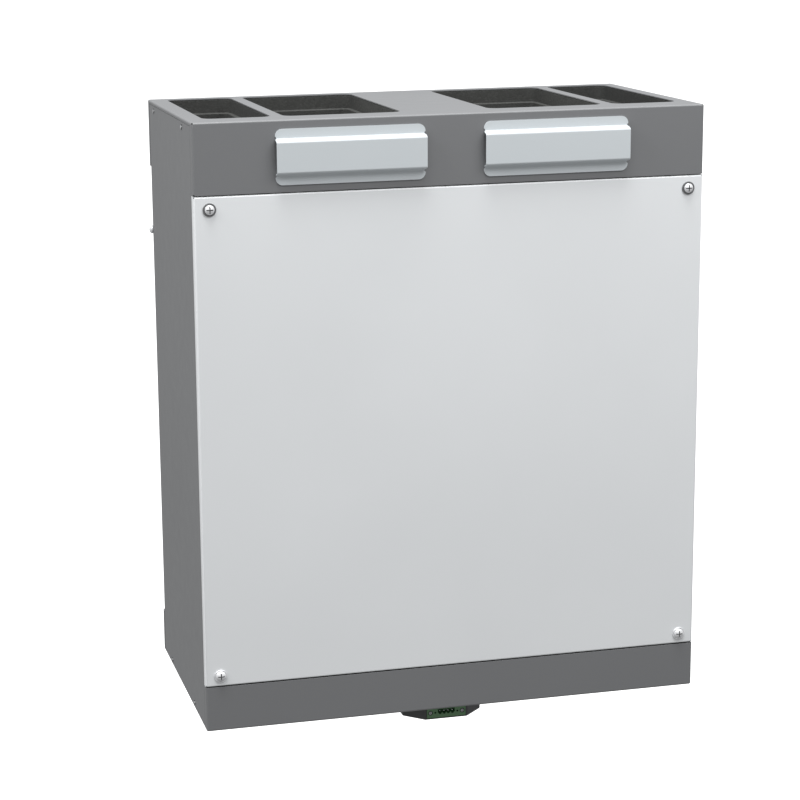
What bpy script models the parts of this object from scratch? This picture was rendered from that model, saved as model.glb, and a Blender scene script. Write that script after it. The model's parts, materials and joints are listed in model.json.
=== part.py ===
"""Wall-hung heat recovery unit.

The unit hangs with its back on a wall.  X runs to the right, the front looks
along -Y and Z is up.  The origin lies on the outer face of the upper rear
skirt, in the middle of its width and height: the face that meets the wall.
Heights given as base heights are measured up from the underside of the casing.
"""
import math
import bpy
import bmesh
from mathutils import Matrix, Vector

# ---------------------------------------------------------------- casing
WIDTH = 0.595
DEPTH = 0.301
HEIGHT = 0.700
TOP_SKIRT = 0.080           # height of the upper cap's front and rear skirts
BOTTOM_SKIRT = 0.053        # height of the lower cap's skirts
RETURN_DEPTH = 0.0095       # how far a skirt turns round onto the side
TOP_LIP = 0.004             # lip of a cap above (or below) the side panel
INNER_FLANGE = 0.025        # hidden flange of a cap behind the side panel
SHEET = 0.0012
PANEL_SHEET = 0.0010
FOLD = 0.0022               # outside radius of a folded corner
GAP = 0.0005                # assembly gap between neighbours
FLANGE_GAP = 0.0002         # a cap's inner flange stands this far behind the side skin
OVERCUT = 0.010             # how far a cutter runs past the piece that it cuts

FRONT = -DEPTH
BASE = TOP_SKIRT / 2 - HEIGHT
TOP = BASE + HEIGHT
HALF = WIDTH / 2

# ---------------------------------------------------------------- duct ports
PORT_FRONT = FRONT + 0.038
PORT_REAR = FRONT + 0.283
PORT_RADIUS = 0.012
PORT_LEDGE = 0.004          # step that a duct adaptor stops on
PORT_SOCKET = 0.018         # depth of that step below the top
PORTS = {
    "supply": (-0.2775, -0.2000),
    "extract": (-0.1860, -0.0500),
    "outdoor": (0.0520, 0.1890),
    "exhaust": (0.2030, 0.2800),
}

# ---------------------------------------------------------------- filters
FILTER_X = 0.1195           # middle of a filter, left and right of the centre
FILTER_Z = 0.659            # base height of its middle
SLOT_WIDTH = 0.157
SLOT_HEIGHT = 0.035
SLOT_REAR = -0.044
FILTER_WIDTH = 0.153
FILTER_HEIGHT = 0.031
FILTER_FRONT = FRONT + 0.0195
FILTER_LENGTH = 0.235
PLEATS = 13

GRIP_WIDTH = 0.171
GRIP_HEIGHT = 0.062
GRIP_CORNER = 0.008
GRIP_SHEET = 0.0010
BAND_HEIGHT = 0.040
BAND_FACE = 0.034
BAND_PROUD = 0.0085

# ---------------------------------------------------------------- front cover
COVER_BOTTOM = 0.0535
COVER_TOP = 0.6195
COVER_SCREW_X = HALF - 0.0178
COVER_SCREW_LOW = 0.0665
COVER_SCREW_HIGH = 0.6043
SLAB_BACK = FRONT + 0.039

# ---------------------------------------------------------------- inner body
FOAM_FRONT = SLAB_BACK + GAP
FOAM_REAR = -0.0125
FOAM_HALF = 0.2940
FOAM_BOTTOM = 0.056
FOAM_TOP = 0.617
CHAMBER_HALF = 0.1925
CHAMBER_BACK = -0.062
WELL_HALF = 0.0845
RISER_FLOOR = 0.300
RISER_BACK = PORT_REAR - PORT_LEDGE

# ---------------------------------------------------------------- exchanger
CORE_HALF = 0.170
CORE_TOP = 0.596
CORE_SHOULDER = 0.466
CORE_HIP = 0.374
CORE_FOOT = 0.244
CORE_FRONT = FRONT + 0.0475
CORE_REAR = -0.0675
END_PLATE = 0.0025

# ---------------------------------------------------------------- fans
FAN_X = 0.1735
FAN_Z = 0.160
FAN_FRONT = -0.149
FAN_BACK = -0.041
SCROLL_START = 0.069
SCROLL_GROWTH = 0.028
SCROLL_WALL = 0.002
SCROLL_MOUTH = 0.236
IMPELLER_RADIUS = 0.060
IMPELLER_BACK = -0.062
IMPELLER_DEPTH = 0.056
BLADES = 7

# ---------------------------------------------------------------- bypass
FLAP_X = (-0.1785, -0.1015)
FLAP_LOW = 0.537
FLAP_HINGE = 0.5985

# ---------------------------------------------------------------- under the base
DRAIN_Y = -0.090
DRAIN_END = -0.028
DRAIN_RADIUS = 0.010
SPIGOT_RADIUS = 0.016
HOUSING_DROP = 0.022
HOUSING_FRONT = FRONT + 0.024
HOUSING_SHOULDER = FRONT + 0.045
HOUSING_BACK = FRONT + 0.100
HOUSING_X = -0.0037         # the housing sits just left of the middle
HEADER_Z = -0.0141
PIN_PITCH = 0.00508
POLES = 4

# ---------------------------------------------------------------- fasteners
SIDE_SCREWS = ((0.0623, 0.6896), (0.2565, 0.6896), (0.0792, 0.0070), (0.2354, 0.0070))
SIDE_DRILL = 0.0024         # radius; each side screw is (distance from the front, base height)
RAIL_Z = 0.5415             # base height of the hook rail's side screws
TAB_DRILL = 0.0034          # radius of the cover screws' holes in the side panels' tabs

ROUND = 20                  # facets round a medium-sized turned piece


def base_height(height):
    """World Z of a height measured from the underside of the casing."""
    return BASE + height


# ================================================================ tools
def clear_scene():
    for item in list(bpy.data.objects):
        bpy.data.objects.remove(item, do_unlink=True)


def finish(name, red, green, blue, roughness=0.5, metallic=0.0):
    material = bpy.data.materials.new(name)
    material.use_nodes = True
    shader = material.node_tree.nodes["Principled BSDF"]
    shader.inputs["Base Color"].default_value = (red, green, blue, 1.0)
    shader.inputs["Roughness"].default_value = roughness
    shader.inputs["Metallic"].default_value = metallic
    return material


def mesh_object(name, bm, material=None):
    bmesh.ops.recalc_face_normals(bm, faces=bm.faces)
    mesh = bpy.data.meshes.new(name)
    bm.to_mesh(mesh)
    bm.free()
    item = bpy.data.objects.new(name, mesh)
    bpy.context.scene.collection.objects.link(item)
    if material:
        mesh.materials.append(material)
    return item


def add_block(bm, low, high):
    """A plain block between two corners, added to a bmesh."""
    low = Vector(low)
    high = Vector(high)
    size = high - low
    place = Matrix.Translation((low + high) / 2) @ Matrix.Diagonal((*size, 1.0))
    return bmesh.ops.create_cube(bm, size=1.0, matrix=place)["verts"]


def block(name, low, high, material=None):
    bm = bmesh.new()
    add_block(bm, low, high)
    return mesh_object(name, bm, material)


# How an outline's two coordinates and its extrusion map onto X, Y and Z.
PLANES = {
    "X": lambda a, b, c: (c, a, b),     # outline in (Y, Z), extruded along X
    "Y": lambda a, b, c: (a, c, b),     # outline in (X, Z), extruded along Y
    "Z": lambda a, b, c: (a, b, c),     # outline in (X, Y), extruded along Z
}


def add_prism(bm, outline, axis, start, end):
    place = PLANES[axis]
    verts = [bm.verts.new(place(a, b, start)) for a, b in outline]
    face = bm.faces.new(verts)
    grown = bmesh.ops.extrude_face_region(bm, geom=[face])["geom"]
    moved = [v for v in grown if isinstance(v, bmesh.types.BMVert)]
    bmesh.ops.translate(bm, verts=moved, vec=place(0.0, 0.0, end - start))


def prism(name, outline, axis, start, end, material=None):
    bm = bmesh.new()
    add_prism(bm, outline, axis, start, end)
    return mesh_object(name, bm, material)


def arc(centre, radius, start, end, steps):
    """Points on an arc; angles in degrees."""
    points = []
    for i in range(steps + 1):
        angle = math.radians(start + (end - start) * i / steps)
        points.append((centre[0] + radius * math.cos(angle), centre[1] + radius * math.sin(angle)))
    return points


def rounded_rectangle(low, high, radius, steps=3):
    x0, y0 = low[0] + radius, low[1] + radius
    x1, y1 = high[0] - radius, high[1] - radius
    return (arc((x1, y1), radius, 0, 90, steps) + arc((x0, y1), radius, 90, 180, steps)
            + arc((x0, y0), radius, 180, 270, steps) + arc((x1, y0), radius, 270, 360, steps))


def rectangle(low, high):
    return [(low[0], low[1]), (high[0], low[1]), (high[0], high[1]), (low[0], high[1])]


def folded_strip(path, thickness, radius, steps=2):
    """Outline of sheet metal of one thickness that follows a path with rounded folds."""
    points = [Vector(p) for p in path]
    middle = []
    for i, point in enumerate(points):
        if i in (0, len(points) - 1):
            step = points[1] - points[0] if i == 0 else points[-1] - points[-2]
            middle.append((point, step.normalized().orthogonal()))
            continue
        before = (point - points[i - 1]).normalized()
        after = (points[i + 1] - point).normalized()
        turn = before.angle_signed(after)       # clockwise is positive
        setback = radius * math.tan(abs(turn) / 2)
        start = point - before * setback
        side = before.orthogonal() * (-1 if turn > 0 else 1)
        hub = start + side * radius
        for k in range(steps + 1):
            swing = Matrix.Rotation(-turn * k / steps, 2)
            middle.append((hub + swing @ (start - hub), (swing @ before).orthogonal()))
    left = [tuple(p + n * thickness / 2) for p, n in middle]
    right = [tuple(p - n * thickness / 2) for p, n in middle]
    return left + right[::-1]


def turned(name, profile, centre, direction, material=None, segments=ROUND, closed=False):
    """Turn a profile of (radius, distance along the axis) round an axis through centre."""
    bm = bmesh.new()
    verts = [bm.verts.new((radius, 0.0, along)) for radius, along in profile]
    edges = [bm.edges.new(pair) for pair in zip(verts, verts[1:])]
    if closed:
        edges.append(bm.edges.new((verts[-1], verts[0])))
    bmesh.ops.spin(bm, geom=verts + edges, cent=(0, 0, 0), axis=(0, 0, 1), steps=segments,
                   angle=2 * math.pi, use_merge=True)
    bmesh.ops.remove_doubles(bm, verts=bm.verts, dist=1e-6)
    swing = Vector((0, 0, 1)).rotation_difference(Vector(direction)).to_matrix().to_4x4()
    bmesh.ops.transform(bm, matrix=Matrix.Translation(centre) @ swing, verts=bm.verts)
    item = mesh_object(name, bm, material)
    item.data.shade_smooth()
    item.data.set_sharp_from_angle(angle=math.radians(35))
    return item


def rod(name, start, end, radius, segments=12):
    """A plain round rod between two points, used for drilling."""
    span = Vector(end) - Vector(start)
    profile = [(0.0, 0.0), (radius, 0.0), (radius, span.length), (0.0, span.length)]
    return turned(name, profile, start, span.normalized(), segments=segments)


def combine(target, tool, operation):
    """Join or cut with a tool object, which stays as a hidden guide."""
    change = target.modifiers.new(tool.name, "BOOLEAN")
    change.operation = operation
    change.solver = "EXACT"
    change.object = tool
    tool.hide_render = True
    tool.display_type = "WIRE"


def cut(target, *tools):
    for tool in tools:
        combine(target, tool, "DIFFERENCE")


def join(target, *tools):
    for tool in tools:
        combine(target, tool, "UNION")


def move_origin(item, place):
    """Put an object's origin on its joint's axis without moving its shape."""
    item.data.transform(Matrix.Translation(-Vector(place)))
    item.location = place


# ================================================================ casing
def cap_blank(name, skirt, upward, material):
    """A folded cap: skirts at front and rear with short returns, plate and side flanges."""
    plate = TOP if upward else BASE
    edge = plate - skirt if upward else plate + skirt
    inward = -1 if upward else 1
    low, high = sorted((plate, edge))
    bm = bmesh.new()
    add_block(bm, (-HALF, FRONT, low), (HALF, 0.0, high))
    folds = []
    for fold in bm.edges:
        ends = [v.co for v in fold.verts]
        vertical = abs(ends[0].z - ends[1].z) > FOLD
        on_plate = all(abs(v.z - plate) < FOLD for v in ends)
        if vertical or on_plate:
            folds.append(fold)
    bmesh.ops.bevel(bm, geom=folds, offset=FOLD, segments=2, profile=0.5, affect="EDGES")
    cap = mesh_object(name, bm, material)

    past = edge + OVERCUT * inward
    inside = plate + SHEET * inward
    flange_face = HALF - SHEET - FLANGE_GAP
    flange_back = flange_face - SHEET
    z0, z1 = sorted((past, inside))
    cut(cap, block(name + "_hollow", (-flange_back, FRONT + SHEET, z0), (flange_back, -SHEET, z1)))
    for label, y0, y1 in (("front", FRONT + SHEET, FRONT + RETURN_DEPTH + 0.004),
                          ("rear", -RETURN_DEPTH - 0.004, -SHEET)):
        cut(cap, block(name + "_" + label + "_return", (-HALF + SHEET, y0, z0),
                       (HALF - SHEET, y1, z1)))
    side_front, side_rear = FRONT + RETURN_DEPTH, -RETURN_DEPTH
    for label, side in (("left", -1), ("right", 1)):
        for part, inner, reach in (("rebate", flange_face, TOP_LIP),
                                   ("opening", flange_back - 0.001, INNER_FLANGE)):
            stop = plate + reach * inward
            x0, x1 = sorted((side * inner, side * (HALF + OVERCUT)))
            z2, z3 = sorted((past, stop))
            cut(cap, block(name + "_" + label + "_" + part, (x0, side_front, z2),
                           (x1, side_rear, z3)))
    return cap


def drill_sides(item, screws, skin=HALF):
    """Holes for side screws through both sides of a piece."""
    for label, side in (("left", -1), ("right", 1)):
        for i, (back, height) in enumerate(screws):
            y, z = FRONT + back, base_height(height)
            cut(item, rod("%s_drill_%s_%d" % (item.name, label, i),
                          (side * (skin - OVERCUT), y, z), (side * (skin + OVERCUT), y, z),
                          SIDE_DRILL))


def make_top_cap(material):
    cap = cap_blank("top_cap", TOP_SKIRT, True, material)
    for name, (x0, x1) in PORTS.items():
        outline = rounded_rectangle((x0, PORT_FRONT), (x1, PORT_REAR), PORT_RADIUS)
        cut(cap, prism("cap_hole_" + name, outline, "Z", TOP - OVERCUT, TOP + OVERCUT))
    middle = base_height(FILTER_Z)
    for label, side in (("left", -1), ("right", 1)):
        outline = rectangle((side * FILTER_X - SLOT_WIDTH / 2, middle - SLOT_HEIGHT / 2),
                            (side * FILTER_X + SLOT_WIDTH / 2, middle + SLOT_HEIGHT / 2))
        cut(cap, prism("cap_slot_" + label, outline, "Y", FRONT - OVERCUT, FRONT + OVERCUT))
        # A small notch where the skirt's lower corner folds round.
        corner = side * (HALF - SHEET / 2)
        low = TOP - TOP_SKIRT
        cut(cap, block("cap_relief_" + label, (corner - 0.0011, FRONT - 0.001, low - 0.001),
                       (corner + 0.0011, FRONT + 0.0017, low + 0.0014)))
    drill_sides(cap, SIDE_SCREWS[:2])
    return cap


def make_bottom_cap(material):
    cap = cap_blank("bottom_cap", BOTTOM_SKIRT, False, material)
    x = HOUSING_X
    outline = rectangle((x - 0.040, HOUSING_SHOULDER + 0.006), (x + 0.040, HOUSING_BACK - 0.008))
    cut(cap, prism("base_cable_hole", outline, "Z", BASE - OVERCUT, BASE + OVERCUT))
    cut(cap, rod("base_drain_hole", (0, DRAIN_Y, BASE - OVERCUT), (0, DRAIN_Y, BASE + OVERCUT),
                 SPIGOT_RADIUS + GAP, ROUND))
    drill_sides(cap, SIDE_SCREWS[2:])
    return cap


def make_side_panel(label, side, material):
    """A side panel with folded front and rear flanges between the two caps."""
    flange = 0.014
    tab = 0.028
    centre = PANEL_SHEET / 2
    face = HALF - centre
    y0 = FRONT + RETURN_DEPTH + 0.0008 + centre
    y1 = -RETURN_DEPTH - 0.0008 - centre
    path = [(HALF - tab, y0), (face, y0), (face, y1), (HALF - flange, y1)]
    outline = [(side * a, b) for a, b in folded_strip(path, PANEL_SHEET, 0.0015, 4)]
    low = base_height(TOP_LIP + GAP)
    high = base_height(HEIGHT - TOP_LIP - GAP)
    panel = prism("side_panel_" + label, outline, "Z", low, high, material)
    screw_room = 0.026          # the tab reaches this far past a cover screw

    def side_block(name, depth, y_low, y_high, z_low, z_high):
        a, b = sorted((side * (HALF - 0.040), side * (HALF - depth)))
        return block("%s_%s" % (name, label), (a, y_low, z_low), (b, y_high, z_high))

    # No flanges inside the caps, and a narrow front flange between the screw tabs.
    skin = 0.0022
    for name, z0, z1 in (("flange_top", base_height(FOAM_TOP), high + OVERCUT),
                         ("flange_foot", low - OVERCUT, base_height(COVER_BOTTOM))):
        cut(panel, side_block(name, skin, FRONT, -0.005, z0, z1))
    cut(panel, side_block("flange_relief", flange, FRONT, FRONT + 2 * OVERCUT,
                          base_height(COVER_SCREW_LOW + screw_room),
                          base_height(COVER_SCREW_HIGH - screw_room)))
    for i, height in enumerate((COVER_SCREW_LOW, COVER_SCREW_HIGH)):
        z = base_height(height)
        cut(panel, rod("tab_drill_%s_%d" % (label, i), (side * COVER_SCREW_X, FRONT, z),
                       (side * COVER_SCREW_X, FRONT + 2 * OVERCUT, z), TAB_DRILL, 16))
    for i, (back, height) in enumerate(SIDE_SCREWS):
        y, z = FRONT + back, base_height(height)
        cut(panel, rod("panel_drill_%s_%d" % (label, i), (side * (HALF - OVERCUT), y, z),
                       (side * (HALF + OVERCUT), y, z), SIDE_DRILL))


def make_side_screws(material):
    """Raised countersunk screws that hold the side panels to the caps."""
    for label, side in (("left", -1), ("right", 1)):
        for i, (back, height) in enumerate(SIDE_SCREWS):
            spot = (side * (HALF + 0.0003), FRONT + back, base_height(height))
            profile = [(0.0, 0.0009), (0.0012, 0.0008), (0.0022, 0.0004), (0.0026, 0.0),
                       (0.0017, -0.0001), (0.0017, -0.0060), (0.0, -0.0060)]
            turned("side_screw_%s_%d" % (label, i + 1), profile, spot, (side, 0, 0),
                   material, segments=12)


def make_rear_panel(material):
    return block("rear_panel", (-0.2930, -0.0100, base_height(0.012)),
                 (0.2930, -0.0090, base_height(HEIGHT - 0.012)), material)


def make_hanging_rail(rail_material, screw_material):
    """Hook rail in the rear recess, with an end tongue for a side screw."""
    front, rear = -0.0079, -0.0011
    low, high = base_height(RAIL_Z - 0.016), base_height(RAIL_Z + 0.015)
    path = [(front, low), (front, high), (rear, high), (rear, high - 0.012)]
    rail = prism("hanging_rail", folded_strip(path, 0.0015, 0.0014, 2), "X", -0.2855, 0.2855,
                 rail_material)
    z = base_height(RAIL_Z)
    y = -0.0045
    for label, side in (("left", -1), ("right", 1)):
        a, b = sorted((side * 0.2800, side * 0.2970))
        join(rail, block("rail_tongue_" + label, (a, -0.0080, z - 0.0044), (b, -0.0012, z + 0.0044)))
        cut(rail, rod("rail_drill_" + label, (side * 0.283, y, z), (side * 0.300, y, z), 0.0026))
        profile = ([(0.0, 0.0034)] + arc((0.0, -0.0030), 0.0064, 76, 42, 3)
                   + [(0.0049, 0.0)] + [(0.0020, 0.0), (0.0020, -0.012), (0.0, -0.012)])
        turned("rail_screw_" + label, profile, (side * 0.2975, y, z), (side, 0, 0),
               screw_material, segments=16)


# ================================================================ front cover
def cross_recess(name, centre, direction, size, depth):
    """A cross-shaped cutter for a screw head, sunk along -direction."""
    bm = bmesh.new()
    thick = size * 0.16
    outline = [(thick, thick), (size, thick), (size, -thick), (thick, -thick),
               (thick, -size), (-thick, -size), (-thick, -thick), (-size, -thick),
               (-size, thick), (-thick, thick), (-thick, size), (thick, size)]
    add_prism(bm, outline, "Z", -depth, depth)
    swing = Vector((0, 0, 1)).rotation_difference(Vector(direction)).to_matrix().to_4x4()
    bmesh.ops.transform(bm, matrix=Matrix.Translation(centre) @ swing, verts=bm.verts)
    return mesh_object(name, bm)


def make_front_cover(sheet_material, foam_material, screw_material):
    low, high = base_height(COVER_BOTTOM), base_height(COVER_TOP)
    bm = bmesh.new()
    back = FRONT + RETURN_DEPTH
    add_block(bm, (-HALF, FRONT, low), (HALF, back, high))
    folds = [e for e in bm.edges if not all(abs(v.co.y - back) < FOLD for v in e.verts)]
    bmesh.ops.bevel(bm, geom=folds, offset=FOLD, segments=2, profile=0.5, affect="EDGES")
    cover = mesh_object("front_cover", bm, sheet_material)
    cut(cover, block("cover_hollow", (-HALF + SHEET, FRONT + SHEET, low + SHEET),
                     (HALF - SHEET, back + 0.01, high - SHEET)))

    # Insulation on the back of the cover, cut away at the screw tabs.
    reach, notch, step = HALF - 0.0148, HALF - 0.0290, 0.030
    z0, z1 = base_height(0.0575), base_height(0.6155)
    z2, z3 = base_height(COVER_SCREW_LOW) + step, base_height(COVER_SCREW_HIGH) - step
    right = [(notch, z0), (notch, z2), (reach, z2), (reach, z3), (notch, z3), (notch, z1)]
    outline = right + [(-x, z) for x, z in right[::-1]]
    prism("cover_insulation", outline, "Y", FRONT + SHEET + GAP, SLAB_BACK, foam_material)

    for row, height in (("bottom", COVER_SCREW_LOW), ("top", COVER_SCREW_HIGH)):
        for label, side in (("left", -1), ("right", 1)):
            name = "%s_%s" % (row, label)
            spot = (side * COVER_SCREW_X, FRONT, base_height(height))
            cut(cover, rod("cover_drill_" + name, (spot[0], FRONT - 0.01, spot[2]),
                           (spot[0], FRONT + 0.005, spot[2]), 0.0036, 16))
            washer = [(0.0073, 0.0013), (0.0076, 0.0009), (0.0076, 0.0004)]
            dome = arc((0.0, -0.0032), 0.0076, 66, 40, 2)
            profile = ([(0.0, 0.0044)] + dome + [(0.0060, 0.0013)] + washer
                       + [(0.0029, 0.0004), (0.0029, -0.0150), (0.0, -0.0170)])
            screw = turned("cover_screw_" + name, profile, spot, (0, -1, 0), screw_material,
                           segments=16)
            cut(screw, cross_recess("cross_" + name, (spot[0], FRONT - 0.0048, spot[2]),
                                    (0, -1, 0), 0.0034, 0.0024))


# ================================================================ foam body
def make_port_block(material):
    """Foam block under the top plate with stepped duct sockets and the filter slots."""
    low, high = base_height(FOAM_TOP + 0.001), TOP - SHEET - GAP
    body = block("port_block", (-FOAM_HALF, FRONT + SHEET + GAP, low),
                 (FOAM_HALF, -0.0105, high), material)
    rim_room = RETURN_DEPTH + 0.003
    cut(body, block("cover_clearance", (-HALF, FRONT - OVERCUT, low - OVERCUT),
                    (HALF, FRONT + rim_room, base_height(COVER_TOP + 0.002))))
    for name, (x0, x1) in PORTS.items():
        socket = rounded_rectangle((x0, PORT_FRONT), (x1, PORT_REAR), PORT_RADIUS)
        step = PORT_LEDGE
        throat = rounded_rectangle((x0 + step, PORT_FRONT + step), (x1 - step, PORT_REAR - step),
                                   PORT_RADIUS - step)
        cut(body, prism("socket_" + name, socket, "Z", TOP - PORT_SOCKET, TOP + OVERCUT))
        cut(body, prism("throat_" + name, throat, "Z", low - OVERCUT, TOP - PORT_SOCKET / 2))
    middle = base_height(FILTER_Z)
    for label, side in (("left", -1), ("right", 1)):
        x = side * FILTER_X
        cut(body, block("filter_slot_" + label,
                        (x - SLOT_WIDTH / 2, FRONT - OVERCUT, middle - SLOT_HEIGHT / 2),
                        (x + SLOT_WIDTH / 2, SLOT_REAR, middle + SLOT_HEIGHT / 2)))
    drill_sides(body, SIDE_SCREWS[:2], FOAM_HALF)


def make_foam_body(material):
    """Main foam moulding: risers, exchanger chamber, fan chambers and board bay."""
    body = block("foam_body", (-FOAM_HALF, FOAM_FRONT, base_height(FOAM_BOTTOM)),
                 (FOAM_HALF, FOAM_REAR, base_height(FOAM_TOP)), material)
    ahead = FOAM_FRONT - OVERCUT
    top = FOAM_TOP + OVERCUT
    rib, rib_low = 0.010, 0.598
    half = [(rib, top), (CHAMBER_HALF, top), (CHAMBER_HALF, 0.236), (WELL_HALF - 0.0005, 0.236),
            (WELL_HALF - 0.0005, 0.196)]
    right = [(rib, rib_low)] + half
    outline = right + [(-x, z) for x, z in right[::-1]]
    outline = [(x, base_height(z)) for x, z in outline]
    cut(body, prism("exchanger_chamber", outline, "Y", ahead, CHAMBER_BACK))
    cut(body, block("board_bay", (-0.0755, ahead, base_height(0.066)),
                    (0.0755, -0.0255, base_height(0.184))))
    for label, side, port in (("left", -1, "supply"), ("right", 1, "exhaust")):
        inner, outer = sorted(abs(x) for x in PORTS[port])
        x0, x1 = sorted((side * (inner + PORT_LEDGE), side * (outer - PORT_LEDGE)))
        cut(body, block("riser_" + label, (x0, ahead, base_height(RISER_FLOOR)),
                        (x1, RISER_BACK, base_height(top))))
        x0, x1 = sorted((side * 0.2075, side * 0.2715))
        cut(body, block("riser_foot_" + label, (x0, FAN_FRONT, base_height(0.230)),
                        (x1, -0.0400, base_height(RISER_FLOOR + 0.002))))
        x0, x1 = sorted((side * 0.2735, side * WELL_HALF))
        cut(body, block("fan_chamber_" + label, (x0, ahead, base_height(0.066)),
                        (x1, -0.0255, base_height(0.240))))
    # Bypass channel in the chamber's rear wall, from upper left to lower right.
    x0, x1 = FLAP_X
    channel = [(x0 - 0.001, 0.600), (x0 - 0.001, 0.535), (0.100, 0.247), (0.178, 0.247),
               (0.178, 0.300), (x1 + 0.001, 0.600)]
    outline = [(x, base_height(z)) for x, z in channel]
    cut(body, prism("bypass_channel", outline, "Y", CHAMBER_BACK - 0.01, -0.030))
    # Holes for the drain pipe and the cables.
    cut(body, rod("foam_drain_hole", (0, DRAIN_Y, base_height(0.040)),
                  (0, DRAIN_Y, base_height(0.210)), DRAIN_RADIUS + 0.001, ROUND))
    cut(body, rod("foam_cable_hole", (HOUSING_X, HOUSING_BACK - 0.028, base_height(0.040)),
                  (HOUSING_X, HOUSING_BACK - 0.028, base_height(0.080)), 0.008))
    for label, side in (("left", -1), ("right", 1)):
        cut(body, rod("wall_cable_hole_" + label, (side * 0.070, -0.170, base_height(0.090)),
                      (side * 0.090, -0.170, base_height(0.090)), 0.0060))
        cut(body, rod("sensor_hole_" + label, (side * 0.185, -0.200, base_height(0.560)),
                      (side * 0.1985, -0.200, base_height(0.560)), 0.0034))


# ================================================================ filters
def make_filter(label, side, frame_material, media_material):
    x, z = side * FILTER_X, base_height(FILTER_Z)
    rear = FILTER_FRONT + FILTER_LENGTH
    wall = 0.006
    half_w, half_h = FILTER_WIDTH / 2, FILTER_HEIGHT / 2
    frame = block("filter_frame_" + label, (x - half_w, FILTER_FRONT, z - half_h),
                  (x + half_w, rear, z + half_h), frame_material)
    cut(frame, block("filter_window_" + label,
                     (x - half_w + wall, FILTER_FRONT + 0.012, z - half_h - 0.01),
                     (x + half_w - wall, rear - wall, z + half_h + 0.01)))
    # Pleated media: a zigzag sheet with its folds across the filter.
    y0, y1 = FILTER_FRONT + 0.0135, rear - wall - 0.0015
    pitch = (y1 - y0) / (2 * PLEATS)
    depth, thick = 0.0110, 0.0016
    zigzag = [(y0 + i * pitch, z + (depth if i % 2 else -depth)) for i in range(2 * PLEATS + 1)]
    outline = [(y, h + thick) for y, h in zigzag] + [(y, h - thick) for y, h in zigzag[::-1]]
    media = prism("filter_media_" + label, outline, "X", x - half_w + wall + GAP,
                  x + half_w - wall - GAP, media_material)
    for item in (frame, media):
        move_origin(item, (x, FILTER_FRONT, z))


def make_filter_cover(label, side, plate_material, plug_material):
    """Pull-off cover of a filter slot: a hat-shaped plate with a plug behind it."""
    x, z = side * FILTER_X, base_height(FILTER_Z)
    back = FRONT - 0.0003 - GRIP_SHEET / 2
    crest = back - BAND_PROUD
    half_flange = GRIP_HEIGHT / 2
    half_band, half_face = BAND_HEIGHT / 2, BAND_FACE / 2
    path = [(back, z - half_flange), (back, z - half_band), (crest, z - half_face),
            (crest, z + half_face), (back, z + half_band), (back, z + half_flange)]
    half = GRIP_WIDTH / 2
    plate = prism("filter_cover_" + label, folded_strip(path, GRIP_SHEET, 0.0016, 3), "X",
                  x - half, x + half, plate_material)
    outline = rounded_rectangle((x - half - 0.00001, z - half_flange), (x + half + 0.00001,
                                z + half_flange), GRIP_CORNER, 5)
    keep = prism("cover_outline_" + label, outline, "Y", FRONT - 0.03, FRONT + 0.01)
    combine(plate, keep, "INTERSECT")
    for i, (dx, dz) in enumerate(((-1, -1), (1, -1), (-1, 1), (1, 1))):
        spot = (x + dx * (half + 0.0003), z + dz * (half_band + 0.0012))
        cut(plate, rod("cover_relief_%s_%d" % (label, i), (spot[0], FRONT - 0.003, spot[1]),
                       (spot[0], FRONT + 0.003, spot[1]), 0.0016))
    plug = prism("filter_plug_" + label,
                 rounded_rectangle((x - 0.0760, z - 0.0155), (x + 0.0760, z + 0.0155), 0.004, 2),
                 "Y", FRONT + GAP, FILTER_FRONT - GAP, plug_material)
    for item in (plate, plug):
        move_origin(item, (x, FRONT, z))


# ================================================================ exchanger
def hexagon(shrink=0.0):
    right = [(0.0, CORE_TOP - 1.4 * shrink), (CORE_HALF - shrink, CORE_SHOULDER),
             (CORE_HALF - shrink, CORE_HIP)]
    left = [(-x, z) for x, z in right[:0:-1]]
    points = right + [(0.0, CORE_FOOT + 1.4 * shrink)] + left
    return [(x, base_height(z)) for x, z in points]


def make_exchanger(core_material, plate_material, strap_material, rail_material):
    core = prism("exchanger_core", hexagon(0.0015), "Y", CORE_FRONT, CORE_REAR + END_PLATE,
                 core_material)
    ahead = CORE_FRONT - 0.0003
    front = prism("exchanger_front_plate", hexagon(), "Y", ahead - END_PLATE, ahead, plate_material)
    # Pull strap: flat ends on the plate and a raised grip between them.
    face = ahead - END_PLATE - 0.0003
    flat, lift, thick = face - 0.0006, face - 0.0034, 0.0011
    z = base_height((CORE_TOP + CORE_FOOT) / 2)
    path = [(flat, z - 0.095), (flat, z - 0.070), (lift, z - 0.055), (lift, z + 0.055),
            (flat, z + 0.070), (flat, z + 0.095)]
    strap = prism("exchanger_strap", folded_strip(path, thick, 0.006, 3), "X", -0.0125, 0.0125,
                  strap_material)
    for item in (core, front, strap):
        move_origin(item, (0.0, CORE_FRONT, z))
    for label, side in (("left", -1), ("right", 1)):
        inner, outer = CORE_HALF + GAP, CHAMBER_HALF - GAP
        low, high = base_height(CORE_HIP + 0.002), base_height(CORE_SHOULDER - 0.002)
        lip = 0.010
        shape = [(outer, low), (inner + lip, low), (inner, low + lip), (inner, high - lip),
                 (inner + lip, high), (outer, high)]
        prism("exchanger_rail_" + label, [(side * x, h) for x, h in shape], "Y",
              FOAM_FRONT + 0.003, CHAMBER_BACK - GAP, rail_material)


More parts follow.
